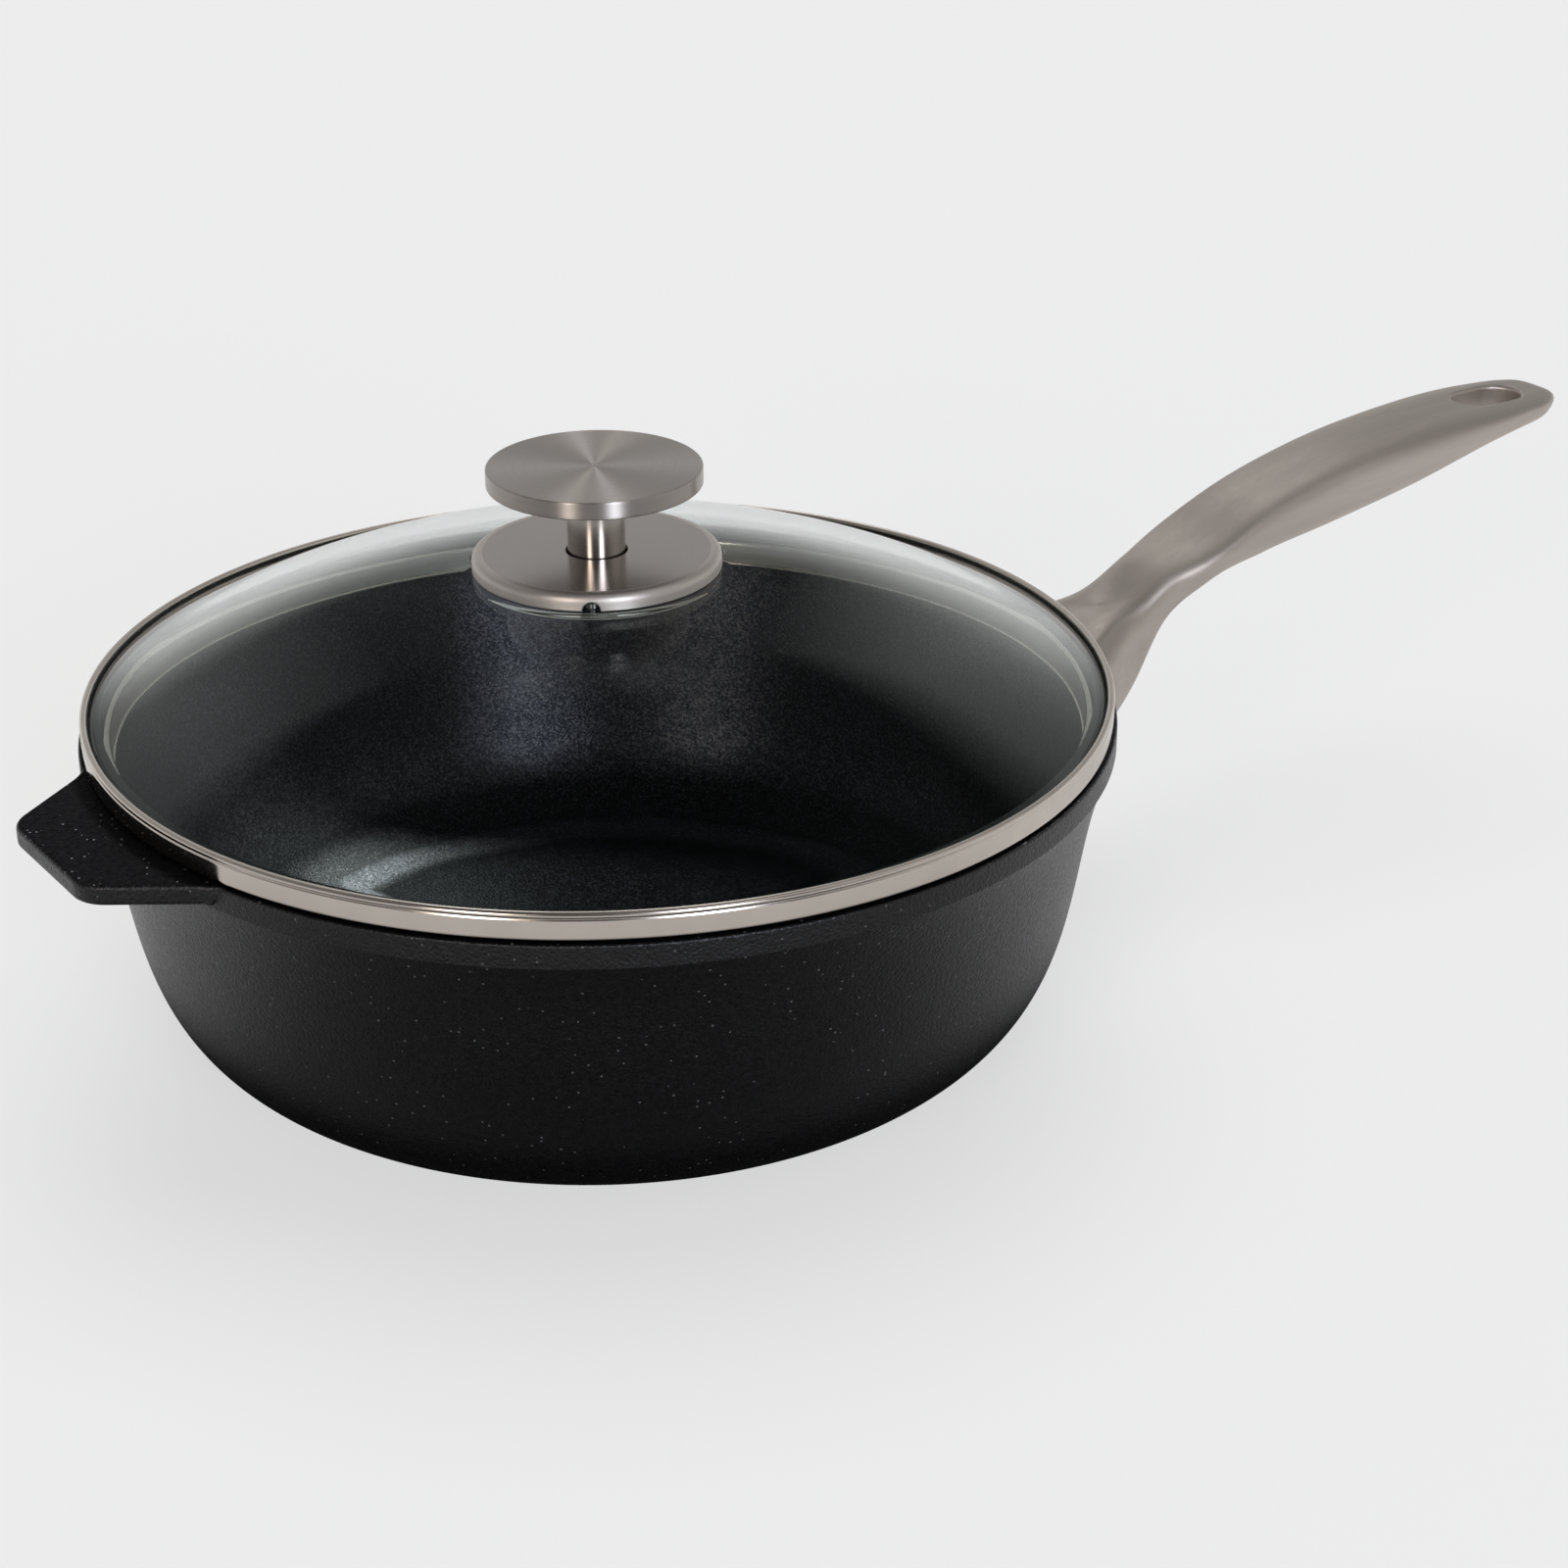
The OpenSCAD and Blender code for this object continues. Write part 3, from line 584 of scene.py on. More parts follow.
def one_grain(name, values, *given, **named):
    """A material with one grain in it."""
    material, tree, shader = new_material(name, values)
    where = {"Vector": add_node(tree, "ShaderNodeTexCoord")["Object"]}
    grain(tree, shader, where, *given, **named)
    return material


def polished_sheet():
    """Stainless sheet, polished to a slightly blurred warm mirror."""
    shade = finish_colour("ring")
    shades = (dimmed(shade, 0.96), dimmed(shade, 1.03))
    rough = (0.11 * 0.8, 0.11 * 1.25)
    return one_grain("polished_stainless_sheet", {"Metallic": 1.0}, (9.0, 1.0), shades, rough)


def moulded_silicone():
    """Moulded silicone rubber: dark, matte and slightly dusty."""
    base = finish_colour("silicone")
    shades = (dimmed(base, 0.8), dimmed(base, 1.3))
    return one_grain(
        "moulded_silicone", {"Roughness": 0.58}, (1.2, 3.0), shades, bump=(0.02, 0.3)
    )


def plain_metal(name, dark, pale, roughness):
    """Bare metal with a soft shine and a fine unevenness, cold-headed or turned on a lathe."""
    shades, rough = (linear(dark), linear(pale)), (roughness - 0.05, roughness + 0.05)
    return one_grain(name, {"Metallic": 1.0}, (0.8, 3.0), shades, rough)


# The maker of each finish, and what it is given
MAKERS = {
    "outside": (coating_outside,),
    "inside": (coating_inside,),
    "handle": (satin_cast_steel,),
    "ring": (polished_sheet,),
    # Painted highlight: the skirt's steel is half again as pale as the knob's and paler than the
    # ring it is rolled from, besides its real spun finish.
    "skirt": (turned_steel, "spun_stainless_skirt", 0.5, 0.7, 1.5),
    "disc": (turned_steel, "turned_stainless_disc", 0.33, 0.98, 0.87),
    "post": (turned_steel, "turned_stainless_post", 0.17, 0.93),
    "cover": (turned_steel, "turned_stainless_cover", 0.2, 0.2, 0.86, 0.8, 0.02),
    # Painted highlight: the rolled edge is a paler copy of the cover's steel, besides its rougher
    # brushed finish.
    "cover edge": (turned_steel, "brushed_stainless_edge", 0.44, 0.4, 1.12),
    "plate": (turned_steel, "turned_magnetic_steel", 0.3, 0.6, 1.1),
    "glass": (toughened_glass,),
    "silicone": (moulded_silicone,),
    "fastener": (plain_metal, "cold_headed_stainless", "#A19E9A", "#B9B6B2", 0.31),
    "foot": (plain_metal, "machined_cast_aluminium", "#B4B4B2", "#D0D0CE", 0.36),
}
MADE = {}


def finish(name):
    """Each material by its short name, made once."""
    if name not in MADE:
        maker, *given = MAKERS[name]
        MADE[name] = maker(*given)
    return MADE[name]


# Shapes that more than one piece uses


def curve_point(control, s):
    """Point and outward unit normal at s on the cubic curve of the pan's outer wall."""
    a, b, c, d = (Vector(p) for p in control)
    t = 1 - s
    point = t**3 * a + 3 * t * t * s * b + 3 * t * s * s * c + s**3 * d
    way = t * t * (b - a) + 2 * t * s * (c - b) + s * s * (d - c)
    return point, -Vector((way.y, -way.x)).normalized()


def wall_control(pan):
    top_r = pan.rim_r - pan.collar_step
    top_z = pan.height - pan.collar_h
    return [
        (top_r, top_z),
        (top_r - pan.wall_lean, top_z - pan.wall_lean_h),
        (pan.foot_r + pan.heel_full, 0.0),
        (pan.foot_r, 0.0),
    ]


def wall_line(pan, out_top, out_foot, steps):
    """Points on the wall's curve, moved out by out_top at the collar and out_foot at the foot."""
    control = wall_control(pan)
    line = []
    for i in range(steps + 1):
        s = i / steps
        point, normal = curve_point(control, s)
        line.append(tuple(point + normal * (out_top + (out_foot - out_top) * s)))
    return line


def tab_reach_at(pan, angle):
    """Distance from the axis to the collar's or tab's edge, at an angle from the tab's middle."""
    angle = abs((angle + math.pi) % (2 * math.pi) - math.pi)
    way = Vector((math.cos(angle), math.sin(angle)))
    if way.x < 0.5:
        return pan.rim_r
    corner = Vector(
        (pan.rim_r + pan.tab_reach - pan.tab_corner_r, pan.tab_w / 2 - pan.tab_corner_r)
    )
    half_root = pan.tab_root_w / 2
    root = Vector((math.sqrt(pan.rim_r**2 - half_root**2), half_root))
    gap = root - corner
    lean = math.atan2(gap.y, gap.x) - math.acos(pan.tab_corner_r / gap.length)
    touch = corner + pan.tab_corner_r * Vector((math.cos(lean), math.sin(lean)))
    if angle < math.atan2(corner.y, corner.x + pan.tab_corner_r):
        side = (pan.rim_r + pan.tab_reach) / way.x
    elif angle < math.atan2(touch.y, touch.x):
        across = corner.x * way.y - corner.y * way.x
        side = corner.dot(way) + math.sqrt(pan.tab_corner_r**2 - across**2)
    else:
        edge = root - touch
        side = (touch.x * edge.y - touch.y * edge.x) / (way.x * edge.y - way.y * edge.x)
        side = max(0.0, side)
    blend = 3.5
    share = min(1.0, max(0.0, 0.5 + 0.5 * (side - pan.rim_r) / blend))
    return pan.rim_r + (side - pan.rim_r) * share + blend * share * (1 - share)


def dome_z(lid, r):
    full = max(0.0, (r - lid.edge_r + lid.shoulder_w) / lid.shoulder_w)
    return lid.edge_z + lid.dome_rise * (1 - (r / lid.edge_r) ** 2) + lid.shoulder_lift * full**2


def dome_slope(lid, r):
    full = max(0.0, r - lid.edge_r + lid.shoulder_w)
    return -2 * lid.dome_rise * r / lid.edge_r**2 + 2 * lid.shoulder_lift * full / lid.shoulder_w**2


def dome_point(lid, r, out):
    slope = dome_slope(lid, r)
    long = math.hypot(slope, 1.0)
    return (r - out * slope / long, dome_z(lid, r) + out / long)


# Cross-sections of the handle, each: reach from the rim, top and bottom above the rim,
# half width, and the underside's share of that width
HANDLE_STATIONS = [
    (-15.0, -14.0, -46.5, 36.0, 0.92),
    (20.0, -15.0, -47.5, 27.4, 0.92),
    (40.0, -9.9, -41.0, 17.0, 0.85),
    (55.0, -2.3, -20.8, 14.75, 0.74),
    (70.0, 2.8, -11.0, 17.65, 0.68),
    (94.7, 13.0, -6.0, 18.4, 0.66),
    (124.9, 20.5, -1.9, 19.2, 0.66),
    (159.7, 24.25, 4.25, 20.25, 0.66),
    (194.6, 25.0, 12.5, 19.8, 0.66),
    (220.6, 24.5, 15.5, 15.5, 0.66),
]
SECTION_POWER = 3.4


def station(x, k):
    """Column k of the handle's stations at reach x, smooth from one station to the next."""
    rows = HANDLE_STATIONS
    last = len(rows) - 1
    i = 0
    while i < last - 1 and x >= rows[i + 1][0]:
        i += 1

    def secant(j):
        return (rows[j + 1][k] - rows[j][k]) / (rows[j + 1][0] - rows[j][0])

    def slope(j):
        if j == 0:
            return secant(0)
        if j == last:
            return secant(last - 1)
        before, after = rows[j][0] - rows[j - 1][0], rows[j + 1][0] - rows[j][0]
        return (secant(j - 1) * after + secant(j) * before) / (before + after)

    wide = rows[i + 1][0] - rows[i][0]
    t = (x - rows[i][0]) / wide
    return (
        (2 * t**3 - 3 * t * t + 1) * rows[i][k]
        + (t**3 - 2 * t * t + t) * wide * slope(i)
        + (3 * t * t - 2 * t**3) * rows[i + 1][k]
        + (t**3 - t * t) * wide * slope(i + 1)
    )


def handle_point(pan, handle, x, angle):
    """A point on the handle at reach x and an angle round its section, in millimetres."""

    def round_off(length, power):
        over = max(0.0, (x - handle.reach + length) / length)
        return math.sqrt(max(0.0, 1 - over**power))

    c, s = math.cos(angle), math.sin(angle)
    reach = (abs(c) ** SECTION_POWER + abs(s) ** SECTION_POWER) ** (-1 / SECTION_POWER)
    high = (reach * s + 1) / 2
    share = station(x, 4)
    across = reach * c * (share + (1 - share) * high)
    top, low = station(x, 1), station(x, 2)
    half_w = station(x, 3) * round_off(16.0, 2.3)
    tall = (top - low) * round_off(6.0, 2.0)
    return (pan.rim_r + x, half_w * across, pan.height + (top + low) / 2 + tall * (high - 0.5))


# The photograph's camera and light. Azimuths of lights are from the camera's side.
CAMERA = {
    "elevation": 23.711,
    "distance": 920.0,
    "target_z": 94.5,
    "azimuth": -30.8,
    "yaw": 3.166,
    "pitch": -1.564,
    "roll": 1.658,
    "focal_px": 3323.07,
    "photo_px": 1600,
}
# How much of the filter is left from the far left (0) to the far right (1)
FILTER_ASIDE = [(0.24, 0.45), (0.36, 0.95), (0.6, 1.0), (0.7, 0.2), (0.8, 0.1)]
# Brightness of the pale sweep at rising elevations
STUDIO_SWEEP = [
    (0, 1.0), (8, 0.9), (16, 0.6), (24, 0.48), (38, 0.38), (58, 0.36), (72, 0.14), (90, 0.1)
]
# Soft lights: azimuth, elevation, tightness, how upright (1 is round, less is a standing
# strip), strength, colour
STUDIO_LIGHTS = [
    (-28.0, 17.0, 80.0, 0.4, 11.0, "#FFF6EE"),
    (20.0, 16.0, 80.0, 0.4, 21.0, "#EAF1FF"),
    (46.0, 60.0, 10.0, 1.0, 0.5, "#FFFCF8"),
    (-170.0, 50.0, 6.0, 1.0, 0.36, "#FFFFFF"),
    (76.0, 28.0, 5.0, 1.0, 0.42, "#FFFFFF"),
    (175.0, 50.0, 300.0, 1.0, 5.0, "#FFFFFF"),
    (-171.0, 50.0, 300.0, 1.0, 5.0, "#FFFFFF"),
]
# The one small strong light behind the object to the right, which only the pan body takes
BACK_LIGHT = {"azimuth": 147.0, "elevation": 54.0, "energy": 8.0, "angle": 12.0}


def direction(azimuth, elevation):
    """Unit vector at degrees of azimuth from the camera's side and elevation above the floor."""
    turn = math.radians(CAMERA["azimuth"] - 90.0 + azimuth)
    rise = math.radians(elevation)
    return (math.cos(rise) * math.cos(turn), math.cos(rise) * math.sin(turn), math.sin(rise))


# Operators: one for each piece or group of like pieces


class PAN_OT_stage(bpy.types.Operator):
    """Lay the pale floor, light the studio and set the camera at the photograph's view"""

    bl_idname = "saute_pan.stage"
    bl_label = "Studio Stage"

    def execute(self, context):
        self.floor()
        self.studio_light(context)
        self.lamps()
        self.camera(context)
        context.scene.view_settings.view_transform = "Standard"
        return {"FINISHED"}

    def floor(self):
        """A pale paper floor whose shadow stays light."""
        far = 8000.0
        corners = [(-far, -far, 0), (far, -far, 0), (far, far, 0), (-far, far, 0)]
        floor = new_piece("studio_floor", corners, faces=[(0, 1, 2, 3)])
        material, tree, shader = new_material(
            "matte_paper_floor", {"Roughness": 0.9, "Specular IOR Level": 0.0}
        )
        pale = finish_colour("backdrop")
        rays = add_node(tree, "ShaderNodeLightPath")
        where = add_node(tree, "ShaderNodeTexCoord")["Object"]
        reach = add_node(tree, "ShaderNodeVectorMath", (where,), operation="LENGTH")["Value"]
        pair = (where, direction(0.0, 0.0))
        before = add_node(tree, "ShaderNodeVectorMath", pair, operation="DOT_PRODUCT")["Value"]
        # Painted shadow: what the coating mirrors of the floor is darkened right under the pan and
        # before it.
        # Over these stretches, in millimetres, the painted shadow's share goes from one value to
        # the next.
        ahead, near, under = (
            add_node(tree, "ShaderNodeMapRange", (value, start * MM, stop * MM, first, last))[0]
            for value, start, stop, first, last in (
                (before, 70, 165, 0.0, 0.85),
                (reach, 220, 320, 1.0, 0.1),
                (reach, 130, 165, 0.95, 0.0),
            )
        )
        glossy = rays["Is Glossy Ray"]
        painted_shadow = ahead
        for other, operation in ((near, "MULTIPLY"), (under, "MAXIMUM"), (glossy, "MULTIPLY")):
            painted_shadow = add_node(tree, "ShaderNodeMath", (painted_shadow, other), operation=operation)[0]
        kept = add_node(tree, "ShaderNodeMath", (1.0, painted_shadow), operation="SUBTRACT")[0]
        colour_in = {0: shader.inputs["Base Color"]}
        seen = {0: pale[:3], "Scale": kept}
        add_node(tree, "ShaderNodeVectorMath", seen, colour_in, operation="SCALE")
        # Seven tenths of what the camera sees is the paper's own even colour.
        even = add_node(tree, "ShaderNodeEmission", {"Color": pale})[0]
        part = (rays["Is Camera Ray"], 0.7)
        share = add_node(tree, "ShaderNodeMath", part, operation="MULTIPLY")[0]
        surface = shader.outputs[0].links[0].to_socket
        add_node(tree, "ShaderNodeMixShader", (share, shader.outputs[0], even), {0: surface})
        floor.data.materials.append(material)

    def studio_light(self, context):
        """A pale sweep low all round under a dark ceiling, and soft lights round the object."""
        world = bpy.data.worlds.new("studio")
        context.scene.world = world
        world.use_nodes = True
        tree = world.node_tree
        tree.nodes.clear()
        way = add_node(tree, "ShaderNodeTexCoord")["Generated"]
        high = add_node(tree, "ShaderNodeSeparateXYZ", (way,))["Z"]
        pale = finish_colour("backdrop")
        stops = [(math.sin(math.radians(a)), dimmed(pale, share)) for a, share in STUDIO_SWEEP]
        sky = add_node(tree, "ShaderNodeValToRGB", (high,), stops=stops)[0]
        facing, aside = (
            add_node(tree, "ShaderNodeVectorMath", (way, aim), operation="DOT_PRODUCT")["Value"]
            for aim in (direction(0.0, 0.0), direction(90.0, 0.0))
        )
        dim = add_node(tree, "ShaderNodeMapRange", (facing, -0.35, 0.75, 1.0, 0.3))[0]
        # A polarising filter on the lens takes out what clear glass mirrors from higher up,
        # and does it less at the two sides, where the dome leans away.
        rays = add_node(tree, "ShaderNodeLightPath")
        lofty = add_node(tree, "ShaderNodeMapRange", (high, 0.05, 0.3, 0.0, 0.95))[0]
        ceiling = add_node(tree, "ShaderNodeMapRange", (high, 0.5, 0.66))[0]
        aside = add_node(tree, "ShaderNodeMapRange", (aside, -1.0))[0]
        stops = [(spot, (share, share, share, 1.0)) for spot, share in FILTER_ASIDE]
        level = add_node(tree, "ShaderNodeValToRGB", (aside,), stops=stops)[0]
        level = add_node(tree, "ShaderNodeMath", (level, ceiling), operation="MAXIMUM")[0]
        # A ray this shallow comes off the glass; a deeper one has been inside the pan.
        shallow = (rays["Ray Depth"], 4.5)
        outside = add_node(tree, "ShaderNodeMath", shallow, operation="LESS_THAN")[0]
        taken = lofty
        for other in (level, outside, rays["Is Singular Ray"]):
            taken = add_node(tree, "ShaderNodeMath", (taken, other), operation="MULTIPLY")[0]
        left = add_node(tree, "ShaderNodeMath", (1.0, taken), operation="SUBTRACT")[0]
        room = add_node(tree, "ShaderNodeVectorMath", {0: sky, "Scale": dim}, operation="SCALE")[0]
        for azimuth, elevation, tightness, upright, strength, shade in STUDIO_LIGHTS:
            size = (1.0, 1.0, upright)
            gap = (way, direction(azimuth, elevation))
            gap = add_node(tree, "ShaderNodeVectorMath", gap, operation="SUBTRACT")[0]
            gap = add_node(tree, "ShaderNodeVectorMath", (gap, size), operation="MULTIPLY")[0]
            far = add_node(tree, "ShaderNodeVectorMath", (gap, gap), operation="DOT_PRODUCT")
            fall = (far["Value"], -tightness)
            fall = add_node(tree, "ShaderNodeMath", fall, operation="MULTIPLY")[0]
            glow = add_node(tree, "ShaderNodeMath", (fall,), operation="EXPONENT")[0]
            light = {0: [c * strength for c in linear(shade)[:3]], "Scale": glow}
            light = add_node(tree, "ShaderNodeVectorMath", light, operation="SCALE")[0]
            room = add_node(tree, "ShaderNodeVectorMath", (room, light), operation="ADD")[0]
        lit = add_node(tree, "ShaderNodeBackground", {"Color": room, "Strength": left})[0]
        seen = add_node(tree, "ShaderNodeBackground", {"Color": pale})[0]
        both = add_node(tree, "ShaderNodeMixShader", (rays["Is Camera Ray"], lit, seen))[0]
        add_node(tree, "ShaderNodeOutputWorld", {"Surface": both})

    def lamps(self):
        """A broad light overhead for the floor's soft shadow, and a small one for the heel."""
        above = self.sun("overhead_softbox", 1.2, 50.0)
        above.rotation_euler = (math.radians(-14.0), math.radians(10.0), 0.0)
        above.visible_glossy = False
        above.visible_transmission = False
        behind = self.sun("window_behind", BACK_LIGHT["energy"], BACK_LIGHT["angle"])
        aim = Vector(direction(BACK_LIGHT["azimuth"], BACK_LIGHT["elevation"]))
        behind.rotation_euler = aim.to_track_quat("Z", "Y").to_euler()
        behind.light_linking.receiver_collection = bpy.data.collections.new(LIT_FROM_BEHIND)

    def sun(self, name, energy, angle):
        """A distant lamp as wide as an angle in degrees."""
        light = bpy.data.lights.new(name, "SUN")
        light.energy = energy
        light.angle = math.radians(angle)
        obj = bpy.data.objects.new(name, light)
        bpy.context.scene.collection.objects.link(obj)
        return obj

    def camera(self, context):
        """The photograph's camera: a long lens above the tab's side, looking down on the lid."""
        data = bpy.data.cameras.new("camera")
        data.sensor_width = 36.0
        data.lens = CAMERA["focal_px"] * data.sensor_width / CAMERA["photo_px"]
        data.clip_start, data.clip_end = 0.05, 50.0
        rise = math.radians(CAMERA["elevation"])
        right = Vector((1.0, 0.0, 0.0))
        ahead = Vector((0.0, math.cos(rise), -math.sin(rise)))
        view = Matrix((right, right.cross(ahead), ahead))
        for axis, degrees in (("Y", -CAMERA["yaw"]), ("X", CAMERA["pitch"]), ("Z", CAMERA["roll"])):
            view = Matrix.Rotation(math.radians(degrees), 3, axis) @ view
        side, up, forward = view
        turn = Matrix.Rotation(math.radians(CAMERA["azimuth"]), 3, "Z")
        pose = Matrix((turn @ side, turn @ up, -(turn @ forward))).transposed().to_4x4()
        eye = turn @ (ahead * -CAMERA["distance"])
        pose.translation = (eye + Vector((0.0, 0.0, CAMERA["target_z"]))) * MM
        obj = bpy.data.objects.new("camera", data)
        obj.matrix_world = pose
        context.scene.collection.objects.link(obj)
        context.scene.camera = obj


class PAN_OT_body(bpy.types.Operator):
    """Build the coated pan body with its collar, rim and helper tab as one casting"""

    bl_idname = "saute_pan.body"
    bl_label = "Pan Body"

    def execute(self, context):
        pan = context.scene.pan_sizes
        rows, kinds = self.section(pan)
        angles = self.columns()
        verts, faces, finishes = [], [], []
        for angle in angles:
            edge = tab_reach_at(pan, angle)
            turn = math.pi + angle
            for row in rows:
                r, z = row(edge) if callable(row) else row
                verts.append((r * math.cos(turn), r * math.sin(turn), z))
        many = len(rows)
        for i in range(len(angles)):
            a, b = i * many, (i + 1) % len(angles) * many
            for k in range(many - 1):
                faces.append((a + k, b + k, b + k + 1, a + k + 1))
                finishes.append(kinds[k])
        obj = new_piece("cast_pan_body", verts, faces=faces)
        for name in ("inside", "outside", "foot"):
            obj.data.materials.append(finish(name))
        obj.data.polygons.foreach_set("material_index", finishes)
        tidy_mesh(obj)
        place(obj, "pan", ["pan_body"], "coated_body")
        if LIT_FROM_BEHIND in bpy.data.collections:
            bpy.data.collections[LIT_FROM_BEHIND].objects.link(obj)
        return {"FINISHED"}

    def columns(self):
        """Angles from the tab's middle, close together where the tab is."""
        fine = [math.radians(-23.0 + 0.4 * i) for i in range(116)]
        coarse = 220
        rest = 2 * math.pi - 2 * fine[-1]
        return fine + [fine[-1] + rest * i / coarse for i in range(1, coarse)]

    def section(self, pan):
        """Rows of the section from the floor's middle over the rim to the base, with finishes."""
        inside, outside, foot = 0, 1, 2
        top, low, wall = pan.height, pan.height - pan.collar_h, pan.rim_r - pan.collar_step
        rows = [(r, pan.floor_t) for r in (0.0, 20.0, 40.0, 60.0, 75.0, 84.0)]
        rows += wall_line(pan, -pan.wall_t, -pan.floor_t, 70)[::-1]
        bore = rows[-1][0]
        rows += rounded([(bore, top - 4.0, 0), (bore, top, 1.2), (bore + 3.0, top, 0)], 6)[1:]
        kinds = [inside] * len(rows)
        steps = 26
        rows += [self.edge_row(pan, t / steps) for t in range(steps + 1)]
        collar = [(pan.rim_r, low + 1.2, 0), (pan.rim_r, low, 0.5)]
        collar += [(wall, low, 0.35), (wall - 0.6, low - 1.6, 0)]
        rows += rounded(collar, 4)[1:-1] + wall_line(pan, 0.0, 0.0, 90)[2:]
        kinds += [outside] * (len(rows) - 1 - len(kinds))
        seat, roof = pan.plate_r + CLEARANCE, pan.plate_t + CLEARANCE
        recess = [(pan.foot_r, 0.0, 0), (seat, 0.0, 0.25), (seat, roof, 0), (0.0, roof, 0)]
        rows += rounded(recess, 3)[1:]
        kinds += [foot] * (len(rows) - len(kinds))
        return rows, kinds

    def edge_row(self, pan, t):
        """A row over the rim's edge, down the collar's or the tab's side, back under the tab."""
        rim, top, low = pan.rim_r, pan.height, pan.height - pan.tab_t
        start, end = (rim - 3.6, top, 0), (rim, top - pan.collar_h + 0.9, 0)
        fillet, fade = 1.1, 1.2

        def at(edge):
            out = edge - rim
            plain = along(rounded([start, (rim, top, 0.8), end], 6), t)
            share = min(1.0, max(0.0, out / fade))
            share = share * share * (3 - 2 * share)
            if share <= 1e-5:
                return plain
            corner = (edge, low, min(fillet, 0.45 * out + 0.2))
            root = (rim, low, min(1.0, 0.4 * out))
            tab = along(rounded([start, (edge, top, fillet), corner, root, end], 6), t)
            return tuple(a + (b - a) * share for a, b in zip(plain, tab))

        return at


class PAN_OT_base_plate(bpy.types.Operator):
    """Turn the grooved steel plate set into the base"""

    bl_idname = "saute_pan.base_plate"
    bl_label = "Base Plate"

    def execute(self, context):
        pan = context.scene.pan_sizes
        deep, half, pitch = 0.3, 0.5, 12
        low = [(0.0, 0.0, 0)]
        for r in range(pitch, 75, pitch):
            groove = ((r - half, 0.0), (r - half, deep), (r + half, deep), (r + half, 0.0))
            low += [(*corner, 0.1) for corner in groove]
        low += [(pan.plate_r, 0.0, 0.2), (pan.plate_r, pan.plate_t, 0.1), (0.0, pan.plate_t, 0)]
        obj = turned("base_plate", rounded(low, 2), finish("plate"), 192)
        place(obj, "pan", ["induction_plate"], "base_plate")
        return {"FINISHED"}


class PAN_OT_handle(bpy.types.Operator):
    """Loft the cast handle from its sections, and cut its hanging slot and screw pockets"""

    bl_idname = "saute_pan.handle"
    bl_label = "Long Handle"

    sides = 84
    rings = 150
    root = -10.0

    def execute(self, context):
        pan, handle = context.scene.pan_sizes, context.scene.handle_sizes
        obj = self.blank(pan, handle)
        cut(obj, self.slot_cutter(pan, handle))
        for k in (0, 1):
            cut(obj, self.pocket_cutter(pan, handle, k))
        dress(tidy_mesh(obj, 32.0), finish("handle"))
        place(obj, "pan", ["handle"], "handle_steel")
        return {"FINISHED"}

    def wall_reach(self, pan, z):
        """Radius of the pan's outer wall at height z."""
        line = wall_line(pan, 0.0, 0.0, 90)
        for (r0, z0), (r1, z1) in zip(line, line[1:]):
            if z1 <= z <= z0:
                return r0 + (r1 - r0) * (z - z0) / (z1 - z0)
        return line[0][0]

    def wall_start(self, pan, handle, angle):
        """Reach at which the handle's surface meets the wall at an angle, sunk in a little."""
        x, sunk = -8.0, 0.4
        for _ in range(12):
            _, y, z = handle_point(pan, handle, x, angle)
            wall = self.wall_reach(pan, z) - sunk
            x = math.sqrt(max(0.0, wall * wall - y * y)) - pan.rim_r
        return x

    def blank(self, pan, handle):
        """The handle's closed outside: rings that start on the wall and close up to the tip."""
        bend, round_from, fit_until = 1.25, 0.9, 0.25
        tip, span = handle.reach, handle.reach - self.root
        angles = [2 * math.pi * j / self.sides for j in range(self.sides)]
        starts = [self.wall_start(pan, handle, angle) - self.root for angle in angles]
        rings = []
        for i in range(self.rings + 1):
            s = i / self.rings
            even = self.root + span * (1 - (1 - s) ** bend)
            if s > round_from:
                t = (s - round_from) / (1 - round_from)
                last = self.root + span * (1 - (1 - round_from) ** bend)
                even = last + (tip - last) * math.sin(t * math.pi / 2)
            share = max(0.0, 1 - s / fit_until)
            reach = [even + start * share for start in starts]
            rings.append([handle_point(pan, handle, x, a) for x, a in zip(reach, angles)])
        return stacked("cast_handle", rings)

    def slot_cutter(self, pan, handle):
        """A slot-shaped plug, flared at the handle's top and underside for rounded lips."""
        middle = handle.reach - handle.hole_back
        lip, half_w = handle.lip_r, handle.hole_w / 2
        straight = handle.hole_l / 2 - half_w
        beyond = -30.0
        turns = [math.radians(90 * i / 8) for i in range(9)]
        levels = [(lip, beyond)]
        levels += [(lip * (1 - math.sin(a)), lip * (1 - math.cos(a))) for a in turns]
        rings = []
        rows = [(-1, *level) for level in levels] + [(1, *level) for level in levels[::-1]]
        for side, grow, inset in rows:
            ring = []
            for c, s in circle(72):
                reach = middle + (math.copysign(straight, c) + (half_w + grow) * c)
                y = (half_w + grow) * s
                z = self.crown(pan, handle, reach, abs(y), side) - side * inset
                ring.append((pan.rim_r + reach, y, z))
            rings.append(ring)
        return stacked("slot_cutter", rings)

    def crown(self, pan, handle, x, y, side):
        """Height of the handle's top (side 1) or underside (side -1) at reach x, y off middle."""
        low, high = 0.0, math.pi / 2
        for _ in range(30):
            mid = (low + high) / 2
            if handle_point(pan, handle, x, side * mid)[1] > y:
                low = mid
            else:
                high = mid
        return handle_point(pan, handle, x, side * high)[2]

    def pocket_cutter(self, pan, handle, which):
        """A chamfered bore that holds a screw's head under the root."""
        middle = pan.rim_r + 1.0 + which * handle.screw_pitch
        radius = handle.screw_head_r + 0.4
        mouth, seat = 46.4 - 0.6 * which, 51.85
        rows = [(radius + 3.0, mouth - 3.0), (radius, mouth + 0.2), (radius, seat)]
        rings = [[(middle + r * c, r * s, z) for c, s in circle(48)] for r, z in rows]
        return stacked("pocket_cutter", rings)


